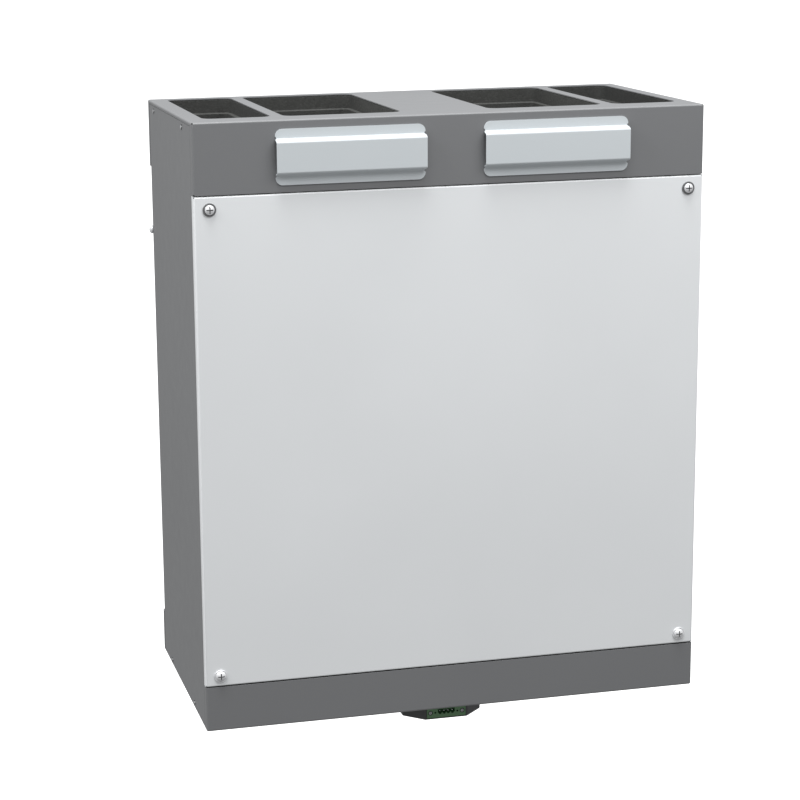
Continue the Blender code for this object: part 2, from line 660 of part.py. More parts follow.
def make_condensate_parts(tray_material, pipe_material):
    low, high = base_height(0.1965), base_height(0.2345)
    y0, y1 = FOAM_FRONT + 0.004, CHAMBER_BACK - 0.001
    half = 0.0825
    wall = 0.0022
    tray = block("condensate_tray", (-half, y0, low), (half, y1, high), tray_material)
    # The floor falls from both sides and from the front to the drain.
    inside = bmesh.new()
    verts = add_block(inside, (-half + wall, y0 + wall, low + 0.012),
                      (half - wall, y1 - wall, high + 0.01))
    low_line = [v for v in verts if v.co.z < high and v.co.y > (y0 + y1) / 2]
    bmesh.ops.translate(inside, verts=low_line, vec=(0, 0, -0.009))
    cut(tray, mesh_object("tray_hollow", inside))
    cut(tray, rod("tray_drain", (0, DRAIN_Y, low - 0.01), (0, DRAIN_Y, low + 0.015), 0.0075, 16))

    top = base_height(0.1960)
    end = base_height(DRAIN_END)
    bore = 0.0075
    profile = [(bore, end), (SPIGOT_RADIUS - 0.0015, end), (SPIGOT_RADIUS, end + 0.002),
               (SPIGOT_RADIUS, BASE + 0.008), (DRAIN_RADIUS, BASE + 0.014), (DRAIN_RADIUS, top),
               (bore, top)]
    turned("drain_pipe", profile, (0, DRAIN_Y, 0), (0, 0, 1), pipe_material,
           closed=True)


# ================================================================ fans
def scroll_outline(side, wall):
    """Spiral of a fan housing with its mouth turned up beside the riser."""
    points = []
    steps = 24
    for i in range(steps + 1):
        swept = 300.0 * i / steps
        angle = math.radians(120.0 - swept)
        radius = SCROLL_START + SCROLL_GROWTH * swept / 300.0 + wall
        points.append((-FAN_X + radius * math.cos(angle), FAN_Z + radius * math.sin(angle)))
    mouth = SCROLL_MOUTH if wall else SCROLL_MOUTH + 0.01
    left = points[-1][0]
    tongue = points[0][0]
    points += [(left, mouth), (tongue, mouth)]
    return [(-side * x, base_height(z)) for x, z in points]


def make_fan(label, side, housing_material, ring_material, motor_material, wheel_material):
    x, z = side * FAN_X, base_height(FAN_Z)
    housing = prism("fan_housing_" + label, scroll_outline(side, SCROLL_WALL), "Y", FAN_FRONT,
                    FAN_BACK, housing_material)
    cut(housing, prism("fan_hollow_" + label, scroll_outline(side, 0.0), "Y",
                       FAN_FRONT + SCROLL_WALL, FAN_BACK - SCROLL_WALL))
    cut(housing, rod("fan_eye_" + label, (x, FAN_FRONT - 0.01, z), (x, FAN_FRONT + 0.01, z),
                     0.0520, 24))

    # Inlet nozzle: a flange on the housing and a throat that narrows to the wheel.
    face = FAN_FRONT - 0.0004
    ring = [(0.0580, 0.0020), (0.0440, 0.0020), (0.0385, -0.0030), (0.0374, -0.0265),
            (0.0394, -0.0265), (0.0402, -0.0045), (0.0450, -0.0002), (0.0580, -0.0002)]
    turned("fan_nozzle_" + label, ring, (x, face - 0.0002, z), (0, -1, 0), ring_material,
           segments=24, closed=True)

    # Stator flange behind the wheel.
    plate = FAN_BACK - SCROLL_WALL - 0.0004
    profile = [(0.0, 0.0), (0.0330, 0.0), (0.0330, 0.0050), (0.0260, 0.0070), (0.0260, 0.0130),
               (0.0, 0.0130)]
    turned("fan_motor_" + label, profile, (x, plate, z), (0, -1, 0), motor_material)

    # Backward-curved wheel: hub with the rotor can, blades and a front ring.
    thick = 0.0018
    can, can_top = 0.0270, 0.030
    profile = [(0.0, 0.0), (IMPELLER_RADIUS, 0.0), (IMPELLER_RADIUS, thick), (can + 0.004, thick),
               (can, 0.006), (can, can_top - 0.004), (can - 0.004, can_top), (0.0, can_top)]
    wheel = turned("fan_wheel_" + label, profile, (x, IMPELLER_BACK, z), (0, -1, 0),
                   wheel_material, segments=24)
    front = IMPELLER_BACK - IMPELLER_DEPTH
    inner, outer = 0.0410, IMPELLER_RADIUS - 0.0001
    ring = [(inner, 0.0), (outer, 0.0), (outer, thick), (inner, thick)]
    join(wheel, *[blade(label, side, i, x, z, front + thick / 2) for i in range(BLADES)])
    join(wheel, turned("wheel_ring_" + label, ring, (x, front + thick, z), (0, -1, 0),
                       segments=24, closed=True))
    move_origin(wheel, (x, IMPELLER_BACK, z))


def blade(label, side, index, x, z, front):
    """One wheel blade: a thin plate curved back against the turning direction."""
    start, end = 0.0385, IMPELLER_RADIUS - 0.0012
    sweep, steps, half = math.radians(40), 3, 0.0009
    turn = 2 * math.pi * index / BLADES
    middle = []
    for i in range(steps + 1):
        part = i / steps
        radius = start + (end - start) * part
        angle = turn - side * sweep * part ** 0.8
        middle.append(Vector((radius * math.cos(angle), radius * math.sin(angle))))
    near, far = [], []
    for i, point in enumerate(middle):
        along = middle[min(i + 1, steps)] - middle[max(i - 1, 0)]
        across = along.normalized().orthogonal() * half
        near.append(point + across)
        far.append(point - across)
    outline = [(x + p.x, z + p.y) for p in near + far[::-1]]
    return prism("blade_%s_%d" % (label, index), outline, "Y", front, IMPELLER_BACK - 0.0009)


# ================================================================ bypass
def make_bypass(frame_material, flap_material, motor_material):
    x0, x1 = FLAP_X
    low, hinge = base_height(FLAP_LOW), base_height(FLAP_HINGE)
    back = CHAMBER_BACK - 0.0003
    frame = block("bypass_frame", (x0 - 0.008, back - 0.0018, low - 0.030),
                  (x1 + 0.008, back, hinge + 0.008), frame_material)
    cut(frame, block("bypass_window", (x0 + 0.004, back - 0.01, low + 0.004),
                     (x1 - 0.004, back + 0.01, hinge - 0.008)))
    y = back - 0.0018 - 0.0023
    flap = block("bypass_flap", (x0, y - 0.0010, low), (x1, y + 0.0010, hinge), flap_material)
    join(flap, rod("flap_barrel", (x0, y, hinge), (x1, y, hinge), 0.0019, 12))
    join(flap, rod("flap_pin", (x0 - 0.0045, y, hinge), (x1 + 0.012, y, hinge), 0.0010, 12))
    move_origin(flap, (x0, y, hinge))
    body = block("bypass_motor", (x1 + 0.0035, y - 0.018, hinge - 0.012),
                 (x1 + 0.036, y + 0.0020, hinge + 0.012), motor_material)
    cut(body, rod("motor_socket", (x1 - 0.01, y, hinge), (x1 + 0.018, y, hinge), 0.0014, 12))


# ================================================================ electronics
def make_electronics(board_material, sensor_material):
    low, high = base_height(0.072), base_height(0.178)
    half = 0.061
    plane = -0.185
    board = block("control_board", (-half, plane - 0.0016, low + 0.003),
                  (half, plane, high - 0.003), board_material)
    pieces = (  # x, height above the board's foot, width, height, thickness
        (-0.058, 0.006, 0.034, 0.016, 0.012),
        (-0.014, 0.006, 0.018, 0.016, 0.016),
        (0.014, 0.006, 0.018, 0.016, 0.016),
        (-0.056, 0.050, 0.028, 0.030, 0.020),
        (-0.012, 0.046, 0.016, 0.016, 0.003),
        (0.020, 0.040, 0.036, 0.028, 0.009),
        (-0.014, 0.076, 0.064, 0.012, 0.010),
    )
    for i, (x, rise, width, tall, thick) in enumerate(pieces):
        foot = low + 0.003 + rise
        join(board, block("board_piece_%d" % i, (x, plane - 0.0016 - thick, foot),
                          (x + width, plane - 0.0008, foot + tall)))
    for i, x in enumerate((0.034, 0.050)):
        foot = (x, plane - 0.0008, low + 0.020)
        join(board, rod("board_capacitor_%d" % i, foot, (x, plane - 0.020, foot[2]), 0.006, 16))

    for name, side in (("extract_sensor", -1), ("outdoor_sensor", 1)):
        profile = [(0.0, 0.0260), (0.0016, 0.0250), (0.0022, 0.0220), (0.0022, 0.0010),
                   (0.0055, 0.0010), (0.0055, 0.0), (0.0030, 0.0), (0.0030, -0.0050),
                   (0.0, -0.0050)]
        turned(name, profile, (side * (CHAMBER_HALF - 0.0014), -0.200, base_height(0.560)),
               (-side, 0, 0), sensor_material, segments=12)


def make_connector(housing_material, header_material, screw_material):
    """Terminal housing below the base, with a header that faces the front."""
    x = HOUSING_X
    narrow, wide = 0.0260, 0.0485
    top, low = BASE - GAP, BASE - HOUSING_DROP

    def plan(inset):
        y0, y1, y2 = HOUSING_FRONT + inset, HOUSING_SHOULDER + inset * 0.4, HOUSING_BACK - inset
        near, far = narrow - inset * 0.4, wide - inset
        return [(x - near, y0), (x + near, y0), (x + far, y1), (x + far, y2), (x - far, y2),
                (x - far, y1)]

    housing = prism("connector_housing", plan(0.0), "Z", low, top, housing_material)
    wall = 0.0016
    cut(housing, prism("housing_hollow", plan(wall), "Z", low + wall, top + OVERCUT))
    half_w, half_h = 0.0240, 0.0058
    z = base_height(HEADER_Z)
    slack = 0.0004
    cut(housing, block("header_window", (x - half_w - slack, HOUSING_FRONT - 0.01,
                                         z - half_h - slack),
                       (x + half_w + slack, HOUSING_FRONT + 0.01, z + half_h + slack)))

    y0, y1 = HOUSING_FRONT - 0.0004, HOUSING_FRONT + 0.0100
    header = block("terminal_header", (x - half_w, y0, z - half_h), (x + half_w, y1, z + half_h),
                   header_material)
    span = POLES * PIN_PITCH + 0.0008
    sill = z + 0.0002
    cut(header, block("header_recess", (x - span / 2, y0 - 0.01, sill),
                      (x + span / 2, y1 - 0.0018, z + half_h - 0.0008)))
    for i in range(POLES):
        pole = x + (i - (POLES - 1) / 2) * PIN_PITCH
        cut(header, rod("header_pole_%d" % i, (pole, y0 - 0.01, sill), (pole, y1 - 0.0018, sill),
                        0.0019, 16))
    screw_z = z + 0.0006
    for label, side in (("left", -1), ("right", 1)):
        hole = x + side * 0.0136
        cut(header, rod("header_hole_" + label, (hole, y0 - 0.01, screw_z),
                        (hole, y0 + 0.004, screw_z), 0.0010))
        spot = x + side * 0.0196
        cut(header, rod("header_bore_" + label, (spot, y0 - 0.01, screw_z),
                        (spot, y0 + 0.0012, screw_z), 0.0028, 16))
        cut(header, rod("header_thread_" + label, (spot, y0, screw_z), (spot, y0 + 0.008, screw_z),
                        0.0015))
        profile = [(0.0, 0.0006), (0.0014, 0.0004), (0.0023, 0.0), (0.0023, -0.0008),
                   (0.0011, -0.0008), (0.0011, -0.0070), (0.0, -0.0070)]
        screw = turned("header_screw_" + label, profile, (spot, y0, screw_z), (0, -1, 0),
                       screw_material, segments=16)
        cut(screw, block("header_driver_" + label, (spot - 0.0019, y0 - 0.001, screw_z - 0.0003),
                         (spot + 0.0019, y0 + 0.0003, screw_z + 0.0003)))


def smooth_route(points, spacing):
    """Points at an even spacing on a smooth curve through the route's own points."""
    route = [Vector(p) for p in points]
    ends = [2 * route[0] - route[1]] + route + [2 * route[-1] - route[-2]]
    dense = []
    for a, b, c, d in zip(ends, ends[1:], ends[2:], ends[3:]):
        for k in range(24):
            t = k / 24
            dense.append(0.5 * ((2 * b) + (c - a) * t + (2 * a - 5 * b + 4 * c - d) * t * t
                                + (3 * b - a - 3 * c + d) * t ** 3))
    dense.append(route[-1])
    picked = [dense[0]]
    for point in dense:
        if (point - picked[-1]).length >= spacing:
            picked.append(point)
    return picked[:-1] + [dense[-1]]


def cable(name, points, diameter, material):
    curve = bpy.data.curves.new(name, "CURVE")
    curve.dimensions = "3D"
    curve.bevel_depth = diameter / 2
    curve.bevel_resolution = 2
    curve.use_fill_caps = True
    route = smooth_route(points, 2.2 * diameter)
    spline = curve.splines.new("POLY")
    spline.points.add(len(route) - 1)
    for point, place in zip(spline.points, route):
        point.co = (*place, 1.0)
    curve.materials.append(material)
    item = bpy.data.objects.new(name, curve)
    bpy.context.scene.collection.objects.link(item)
    return item


def make_cables(supply_material, fan_material):
    """Inner leads: from the terminal header to the board, and from the board to the fans."""
    hole_y = HOUSING_BACK - 0.028
    foot = base_height(0.072)
    cable("supply_lead", [(HOUSING_X, HOUSING_FRONT + 0.0108, base_height(-0.0140)),
                          (HOUSING_X, HOUSING_FRONT + 0.024, base_height(-0.0130)),
                          (HOUSING_X, hole_y - 0.010, base_height(0.004)),
                          (HOUSING_X, hole_y, base_height(0.030)),
                          (HOUSING_X, hole_y, base_height(0.068)),
                          (-0.026, -0.2330, base_height(0.0870)),
                          (-0.042, -0.2240, base_height(0.0885)),
                          (-0.042, -0.2120, base_height(0.0885)),
                          (-0.042, -0.1991, base_height(0.0885))], 0.006, supply_material)
    for label, side in (("left", -1), ("right", 1)):
        start_x = -0.004 if side < 0 else 0.032
        hole = base_height(0.090)
        route = [(start_x, -0.1984, foot + 0.085), (start_x, -0.2080, foot + 0.085),
                 (side * 0.054, -0.2200, foot + 0.068), (side * 0.0690, -0.2060, foot + 0.038),
                 (side * 0.0670, -0.1800, hole + 0.002), (side * 0.0715, -0.1700, hole),
                 (side * 0.0800, -0.1690, hole), (side * 0.0870, -0.1680, hole),
                 (side * 0.0930, -0.1560, base_height(0.087)),
                 (side * 0.0910, -0.1200, base_height(0.084)),
                 (side * 0.0910, -0.0500, base_height(0.084)),
                 (side * 0.0950, -0.0370, base_height(0.087)),
                 (side * 0.1100, -0.0335, base_height(0.100)),
                 (side * 0.1500, -0.0335, base_height(0.140)),
                 (side * 0.1680, -0.0340, base_height(0.157))]
        cable("fan_lead_" + label, route, 0.004, fan_material)


# ================================================================ assembly
def build():
    clear_scene()
    steel = {
        "casing": finish("casing_grey", 0.20, 0.21, 0.215, 0.45),
        "cover": finish("cover_white", 0.68, 0.70, 0.71, 0.40),
        "grip": finish("grip_white", 0.58, 0.62, 0.64, 0.42),
        "plain": finish("galvanised_sheet", 0.55, 0.57, 0.58, 0.35, 0.9),
        "screw": finish("polished_steel", 0.72, 0.72, 0.74, 0.20, 1.0),
    }
    foam = finish("foam_black", 0.055, 0.055, 0.052, 0.85)
    plastic = finish("black_plastic", 0.045, 0.048, 0.050, 0.45)
    pale = finish("pale_plastic", 0.62, 0.64, 0.62, 0.50)
    green = finish("green_plastic", 0.06, 0.14, 0.06, 0.45)
    motor = finish("motor_metal", 0.50, 0.51, 0.52, 0.40, 0.8)
    media = finish("filter_fleece", 0.78, 0.79, 0.76, 0.95)
    card = finish("filter_card", 0.70, 0.66, 0.58, 0.80)
    core = finish("core_plastic", 0.60, 0.70, 0.76, 0.35)
    strap = finish("woven_strap", 0.05, 0.05, 0.05, 0.80)

    make_top_cap(steel["casing"])
    make_bottom_cap(steel["casing"])
    for label, side in (("left", -1), ("right", 1)):
        make_side_panel(label, side, steel["casing"])
        make_filter(label, side, card, media)
        make_filter_cover(label, side, steel["grip"], foam)
        make_fan(label, side, plastic, plastic, motor, plastic)
    make_side_screws(steel["screw"])
    make_rear_panel(steel["plain"])
    make_hanging_rail(steel["plain"], steel["screw"])
    make_front_cover(steel["cover"], foam, steel["screw"])
    make_port_block(foam)
    make_foam_body(foam)
    make_exchanger(core, pale, strap, pale)
    make_condensate_parts(pale, plastic)
    make_bypass(pale, pale, plastic)
    make_electronics(green, plastic)
    make_connector(plastic, green, steel["screw"])
    make_cables(plastic, plastic)


build()
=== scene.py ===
# %% [markdown]
# # A wall-hung heat recovery unit
#
# The unit is a folded steel case with a white front cover.  Four duct ports open
# in its top, two pull-off covers hide the filters, and inside sit a plate heat
# exchanger and two fans.  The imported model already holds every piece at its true
# size and place, so this lesson only makes the looks: finer skins for what the
# eye rests on, and a finish for every surface.
#
# The script leans on the frame for all positions.  A number that stands alone
# here is a detail's own size, such as a fold radius or a screw's recess.

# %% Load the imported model
import json
import math

import bmesh
import bpy
from mathutils import Matrix, Vector


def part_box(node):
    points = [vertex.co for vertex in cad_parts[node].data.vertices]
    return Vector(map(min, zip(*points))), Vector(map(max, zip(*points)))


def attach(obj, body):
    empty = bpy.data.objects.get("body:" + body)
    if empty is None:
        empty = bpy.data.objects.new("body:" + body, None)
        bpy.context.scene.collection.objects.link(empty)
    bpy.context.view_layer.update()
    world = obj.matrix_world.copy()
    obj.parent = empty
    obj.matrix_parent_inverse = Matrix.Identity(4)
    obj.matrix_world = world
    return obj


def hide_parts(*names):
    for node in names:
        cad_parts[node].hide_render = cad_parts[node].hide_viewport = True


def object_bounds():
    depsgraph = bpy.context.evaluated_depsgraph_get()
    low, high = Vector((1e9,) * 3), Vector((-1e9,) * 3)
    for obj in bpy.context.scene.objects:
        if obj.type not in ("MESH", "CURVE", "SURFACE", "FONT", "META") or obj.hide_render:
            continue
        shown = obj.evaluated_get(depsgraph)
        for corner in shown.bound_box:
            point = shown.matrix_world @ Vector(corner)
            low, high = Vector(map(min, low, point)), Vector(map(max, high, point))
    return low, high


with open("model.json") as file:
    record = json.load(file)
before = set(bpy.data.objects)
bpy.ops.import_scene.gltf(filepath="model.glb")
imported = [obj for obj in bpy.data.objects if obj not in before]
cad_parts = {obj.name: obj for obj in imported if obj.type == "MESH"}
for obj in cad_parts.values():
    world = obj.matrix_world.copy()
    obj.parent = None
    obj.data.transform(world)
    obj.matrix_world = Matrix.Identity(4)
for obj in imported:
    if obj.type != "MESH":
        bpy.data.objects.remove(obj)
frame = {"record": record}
CAD_LOW, CAD_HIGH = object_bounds()
scene = bpy.context.scene
scene.view_settings.view_transform = "Standard"
print("overall size in mm:", [round(v * 1000, 1) for v in CAD_HIGH - CAD_LOW])

# %% [markdown]
# ## Camera
#
# A product picture is taken with a long lens from a little above and to the left,
# which keeps the upright edges nearly parallel.  The camera is turned by three
# angles in the order a tripod head gives them: heading, tilt and roll.  A small
# lens shift moves the unit in the frame without bending its lines.

# %% Camera
HEADING, TILT, ROLL = -13.144, 12.403, -0.807      # degrees
view_turn = (Matrix.Rotation(math.radians(HEADING), 4, "Z")
             @ Matrix.Rotation(math.radians(90 - TILT), 4, "X")
             @ Matrix.Rotation(math.radians(ROLL), 4, "Z"))
lens = bpy.data.cameras.new("camera")
lens.lens = 99.78
lens.shift_x = 0.0984
lens.shift_y = -0.0244
camera = bpy.data.objects.new("camera", lens)
camera.matrix_world = Matrix.Translation((-0.7110, -2.6751, 0.2816)) @ view_turn
scene.collection.objects.link(camera)
scene.camera = camera
print("camera distance in m:", round(camera.location.length, 2))

# %% [markdown]
# ## Floor and light
#
# The unit hangs on a wall, so it stands clear of the floor.  A broad overhead
# light gives most of the brightness and shades whatever faces down.  One soft
# panel above the front lights the plates that face the viewer, a second panel
# lifts the left side, and an even sky fills the rest.
#
# A white floor of this size would throw light back at every face that looks
# down.  Blender can hide an object from bounced light and from reflections and
# still show it to the camera, and that keeps the undersides as dark as they
# would be over a floor far below.

# %% Floor
FLOOR_DROP = 0.55
FLOOR_SIZE = 80.0


def plain_material(name, colour, roughness):
    material = bpy.data.materials.new(name)
    material.use_nodes = True
    shader = material.node_tree.nodes["Principled BSDF"]
    shader.inputs["Base Color"].default_value = (*colour, 1.0)
    shader.inputs["Roughness"].default_value = roughness
    return material


floor_mesh = bpy.data.meshes.new("floor")
half_floor = FLOOR_SIZE / 2
floor_level = CAD_LOW.z - FLOOR_DROP
floor_mesh.from_pydata([(-half_floor, -half_floor, floor_level), (half_floor, -half_floor, floor_level),
                        (half_floor, half_floor, floor_level), (-half_floor, half_floor, floor_level)],
                       [], [(0, 1, 2, 3)])
floor_mesh.materials.append(plain_material("floor_white", (0.86, 0.86, 0.86), 0.9))
floor = bpy.data.objects.new("floor", floor_mesh)
scene.collection.objects.link(floor)
floor.visible_diffuse = False
floor.visible_glossy = False
print("floor below the unit in mm:", round(FLOOR_DROP * 1000))

# %% Light
SKY_LIGHT = 0.38
SUN_LIGHT = 4.4
SUN_SPREAD, SUN_LEAN_X, SUN_LEAN_Y = 30.0, 5.0, -6.0        # degrees


def soft_panel(name, place, target, width, height, power):
    """A rectangular soft light that faces a point."""
    data = bpy.data.lights.new(name, "AREA")
    data.shape = "RECTANGLE"
    data.size = width
    data.size_y = height
    data.energy = power
    lamp = bpy.data.objects.new(name, data)
    lamp.location = place
    lamp.rotation_euler = (Vector(target) - Vector(place)).to_track_quat("-Z", "Y").to_euler()
    scene.collection.objects.link(lamp)
    return lamp


world = bpy.data.worlds.new("studio")
world.use_nodes = True
world.node_tree.nodes["Background"].inputs["Color"].default_value = (1.0, 1.0, 1.0, 1.0)
world.node_tree.nodes["Background"].inputs["Strength"].default_value = SKY_LIGHT
scene.world = world

sun_data = bpy.data.lights.new("overhead", "SUN")
sun_data.energy = SUN_LIGHT
sun_data.angle = math.radians(SUN_SPREAD)
sun = bpy.data.objects.new("overhead", sun_data)
sun.rotation_euler = (math.radians(SUN_LEAN_X), math.radians(SUN_LEAN_Y), 0.0)
scene.collection.objects.link(sun)
soft_panel("front_panel", (0.45, -1.25, 1.15), (0.0, -0.3, -0.1), 1.4, 0.8, 18.5)
soft_panel("left_panel", (-1.7, -0.5, 1.1), (-0.3, -0.15, -0.1), 0.9, 0.9, 19.0)

# %% [markdown]
# ## Building finishes from nodes
#
# Every finish starts from Blender's main surface shader.  Two small helpers keep
# the recipes short: one adds a node, one wires two sockets.  All patterns read
# object coordinates, which are true metres here, so a scale of 700 means grains
# about 1.4 mm apart, and a bump distance is a real height.

# %% Node helpers
def start_finish(name, colour, roughness, metallic=0.0):
    """A material with its main shader set to plain values; returns both and the tree."""
    material = bpy.data.materials.new(name)
    material.use_nodes = True
    tree = material.node_tree
    shader = tree.nodes["Principled BSDF"]
    shader.inputs["Base Color"].default_value = (*colour, 1.0)
    shader.inputs["Roughness"].default_value = roughness
    shader.inputs["Metallic"].default_value = metallic
    return material, tree, shader


def add(tree, kind, sockets=None, **settings):
    made = tree.nodes.new("ShaderNode" + kind)
    for name, value in settings.items():
        setattr(made, name, value)
    for name, value in (sockets or {}).items():
        made.inputs[name].default_value = value
    return made


def object_place(tree):
    return add(tree, "TexCoord").outputs["Object"]


def grain(tree, scale, detail=2.0, place=None):
    """Noise from 0 to 1 with grains about 1/scale metres apart."""
    noise = add(tree, "TexNoise", {"Scale": scale, "Detail": detail})
    tree.links.new(place or object_place(tree), noise.inputs["Vector"])
    return noise.outputs["Fac"]


def spread(tree, factor, low, high, start=0.3, end=0.7):
    """Turn a 0 to 1 pattern into a value between low and high."""
    ranged = add(tree, "MapRange", {"From Min": start, "From Max": end, "To Min": low,
                                    "To Max": high})
    tree.links.new(factor, ranged.inputs["Value"])
    return ranged.outputs["Result"]


def blend_colours(tree, factor, first, second):
    mixed = add(tree, "Mix", data_type="RGBA")
    mixed.inputs["A"].default_value = (*first, 1.0)
    mixed.inputs["B"].default_value = (*second, 1.0)
    tree.links.new(factor, mixed.inputs["Factor"])
    return mixed.outputs["Result"]


def raise_surface(tree, shader, height, distance, strength=1.0):
    """Bump by a pattern; a second call adds to the first."""
    bump = add(tree, "Bump", {"Distance": distance, "Strength": strength})
    tree.links.new(height, bump.inputs["Height"])
    if shader.inputs["Normal"].links:
        tree.links.new(shader.inputs["Normal"].links[0].from_socket, bump.inputs["Normal"])
    tree.links.new(bump.outputs["Normal"], shader.inputs["Normal"])


def shade(colour, share):
    """A colour made darker or lighter by a share."""
    return tuple(min(1.0, channel * share) for channel in colour)


# %% [markdown]
# ## Powder coat
#
# The case, the cover and the filter covers are steel with a baked powder coat.
# Close up such a coat is never flat: it has a fine orange peel, and it is a touch
# glossier where it flowed.  The recipe takes the colour and the strength of the
# peel, so that the textured grey and the smoother white come from the same few
# lines.  A fold gets a finish of its own, with a flatter peel.  On the case it
# keeps the coat's tone.  On the cover it is a touch lighter: a painted highlight
# along the folds.  On the filter covers it is used for the slope that faces up,
# in a darker tone: painted shade that calms the slope's highlight.

# %% Powder coat
def powder_coat(name, colour, roughness, peel):
    material, tree, shader = start_finish(name, colour, roughness)
    cloudy = spread(tree, grain(tree, 5.0, 3.0), 0.0, 1.0)
    tree.links.new(blend_colours(tree, cloudy, shade(colour, 0.985), shade(colour, 1.015)),
                   shader.inputs["Base Color"])
    tree.links.new(spread(tree, grain(tree, 60.0), roughness - 0.02, roughness + 0.02),
                   shader.inputs["Roughness"])
    raise_surface(tree, shader, grain(tree, 450.0, 1.0), peel)
    raise_surface(tree, shader, grain(tree, 1800.0, 2.0), peel * 0.35)
    return material


def fold_coat_and_painted_tone(name, colour, roughness, peel):
    """The coat on a fold: a flatter peel, and a tone that the caller chooses; a lighter tone is painted
    highlight, a darker one painted shade.
    """
    material, tree, shader = start_finish(name, colour, roughness)
    patches = spread(tree, grain(tree, 40.0, 2.0), 0.0, 1.0)
    tree.links.new(blend_colours(tree, patches, colour, shade(colour, 1.04)),
                   shader.inputs["Base Color"])
    tree.links.new(spread(tree, grain(tree, 60.0), roughness - 0.04, roughness + 0.02),
                   shader.inputs["Roughness"])
    raise_surface(tree, shader, grain(tree, 450.0, 1.0), peel * 0.4)
    return material


GREY = (0.176, 0.180, 0.186)
WHITE = (0.765, 0.785, 0.800)
SILVER = (0.560, 0.598, 0.620)
grey_coat = powder_coat("textured_grey", GREY, 0.46, 0.00003)
grey_fold = fold_coat_and_painted_tone("grey_fold", GREY, 0.46, 0.00003)
white_coat = powder_coat("smooth_white", WHITE, 0.40, 0.00001)
white_fold = fold_coat_and_painted_tone("white_fold", shade(WHITE, 1.02), 0.40, 0.00001)
silver_coat = powder_coat("smooth_silver", SILVER, 0.38, 0.00001)
silver_fold = fold_coat_and_painted_tone("silver_fold", shade(SILVER, 0.84), 0.42, 0.00001)
print("coats:", [m.name for m in (grey_coat, grey_fold, white_coat, white_fold, silver_coat, silver_fold)])

# %% [markdown]
# ## Bead foam
#
# The inner body is moulded from expanded polypropylene: thousands of round beads
# pressed together in steam.  Voronoi cells are the natural picture of that.  The
# distance to a cell's edge makes the pinched seams between beads, and a random
# value for each cell makes some beads a little lighter than their neighbours.

# %% Bead foam
BEAD = 380.0            # beads per metre


def bead_foam(name, dark, light):
    material, tree, shader = start_finish(name, dark, 0.82)
    place = object_place(tree)
    cells = add(tree, "TexVoronoi", {"Scale": BEAD})
    edges = add(tree, "TexVoronoi", {"Scale": BEAD}, feature="DISTANCE_TO_EDGE")
    for texture in (cells, edges):
        tree.links.new(place, texture.inputs["Vector"])
    one_value = add(tree, "SeparateColor")
    tree.links.new(cells.outputs["Color"], one_value.inputs["Color"])
    tree.links.new(blend_colours(tree, one_value.outputs["Red"], dark, light),
                   shader.inputs["Base Color"])
    seams = spread(tree, edges.outputs["Distance"], 0.0, 1.0, 0.0, 0.35)
    raise_surface(tree, shader, seams, 0.00012)
    raise_surface(tree, shader, grain(tree, 1600.0, 3.0), 0.00004)
    tree.links.new(spread(tree, one_value.outputs["Green"], 0.72, 0.92, 0.0, 1.0),
                   shader.inputs["Roughness"])
    return material


foam = bead_foam("black_bead_foam", (0.031, 0.032, 0.030), (0.040, 0.041, 0.039))
print("bead size in mm:", round(1000 / BEAD, 1))

# %% [markdown]
# ## Bare metals
#
# Zinc-coated sheet shows its spangle: crystals that each reflect a little
# differently.  The screws are plated steel with fine turning rings.  A fully
# metallic screw mirrors whatever is dark around it, so a low metallic value with
# a pale colour stands for the matt plating.  The fan motors, the transformer and
# the header's screws are cast metal with a sandy skin.

# %% Bare metals
def zinc_sheet(name):
    material, tree, shader = start_finish(name, (0.5, 0.52, 0.53), 0.4, 1.0)
    crystals = add(tree, "TexVoronoi", {"Scale": 150.0, "Randomness": 1.0})
    warped = add(tree, "Mix", {"Factor": 0.02}, data_type="VECTOR")
    noise = add(tree, "TexNoise", {"Scale": 120.0, "Detail": 2.0})
    place = object_place(tree)
    tree.links.new(place, noise.inputs["Vector"])
    tree.links.new(place, warped.inputs["A"])
    tree.links.new(noise.outputs["Color"], warped.inputs["B"])
    tree.links.new(warped.outputs["Result"], crystals.inputs["Vector"])
    facets = add(tree, "SeparateColor")
    tree.links.new(crystals.outputs["Color"], facets.inputs["Color"])
    tree.links.new(blend_colours(tree, facets.outputs["Red"], (0.52, 0.54, 0.55), (0.60, 0.62, 0.63)),
                   shader.inputs["Base Color"])
    tree.links.new(spread(tree, facets.outputs["Green"], 0.38, 0.48, 0.0, 1.0),
                   shader.inputs["Roughness"])
    raise_surface(tree, shader, grain(tree, 900.0), 0.00002)
    return material


def turned_steel(name, axis):
    """Plated steel with fine rings round one axis of its own object."""
    material, tree, shader = start_finish(name, (0.80, 0.81, 0.82), 0.28, 0.25)
    rings = add(tree, "TexWave", {"Scale": 900.0, "Distortion": 0.4}, wave_type="RINGS",
                rings_direction=axis)
    tree.links.new(object_place(tree), rings.inputs["Vector"])
    raise_surface(tree, shader, rings.outputs["Fac"], 0.00003, 0.6)
    tree.links.new(spread(tree, grain(tree, 500.0), 0.30, 0.45), shader.inputs["Roughness"])
    tarnish = spread(tree, grain(tree, 220.0, 3.0), 0.0, 1.0)
    tree.links.new(blend_colours(tree, tarnish, (0.72, 0.73, 0.75), (0.86, 0.87, 0.88)),
                   shader.inputs["Base Color"])
    return material


def cast_metal(name):
    material, tree, shader = start_finish(name, (0.5, 0.51, 0.52), 0.5, 0.9)
    tree.links.new(spread(tree, grain(tree, 300.0, 3.0), 0.42, 0.62), shader.inputs["Roughness"])
    clouds = spread(tree, grain(tree, 45.0, 3.0), 0.0, 1.0)
    tree.links.new(blend_colours(tree, clouds, (0.42, 0.43, 0.44), (0.56, 0.57, 0.58)),
                   shader.inputs["Base Color"])
    raise_surface(tree, shader, grain(tree, 1100.0, 3.0), 0.00008)
    return material


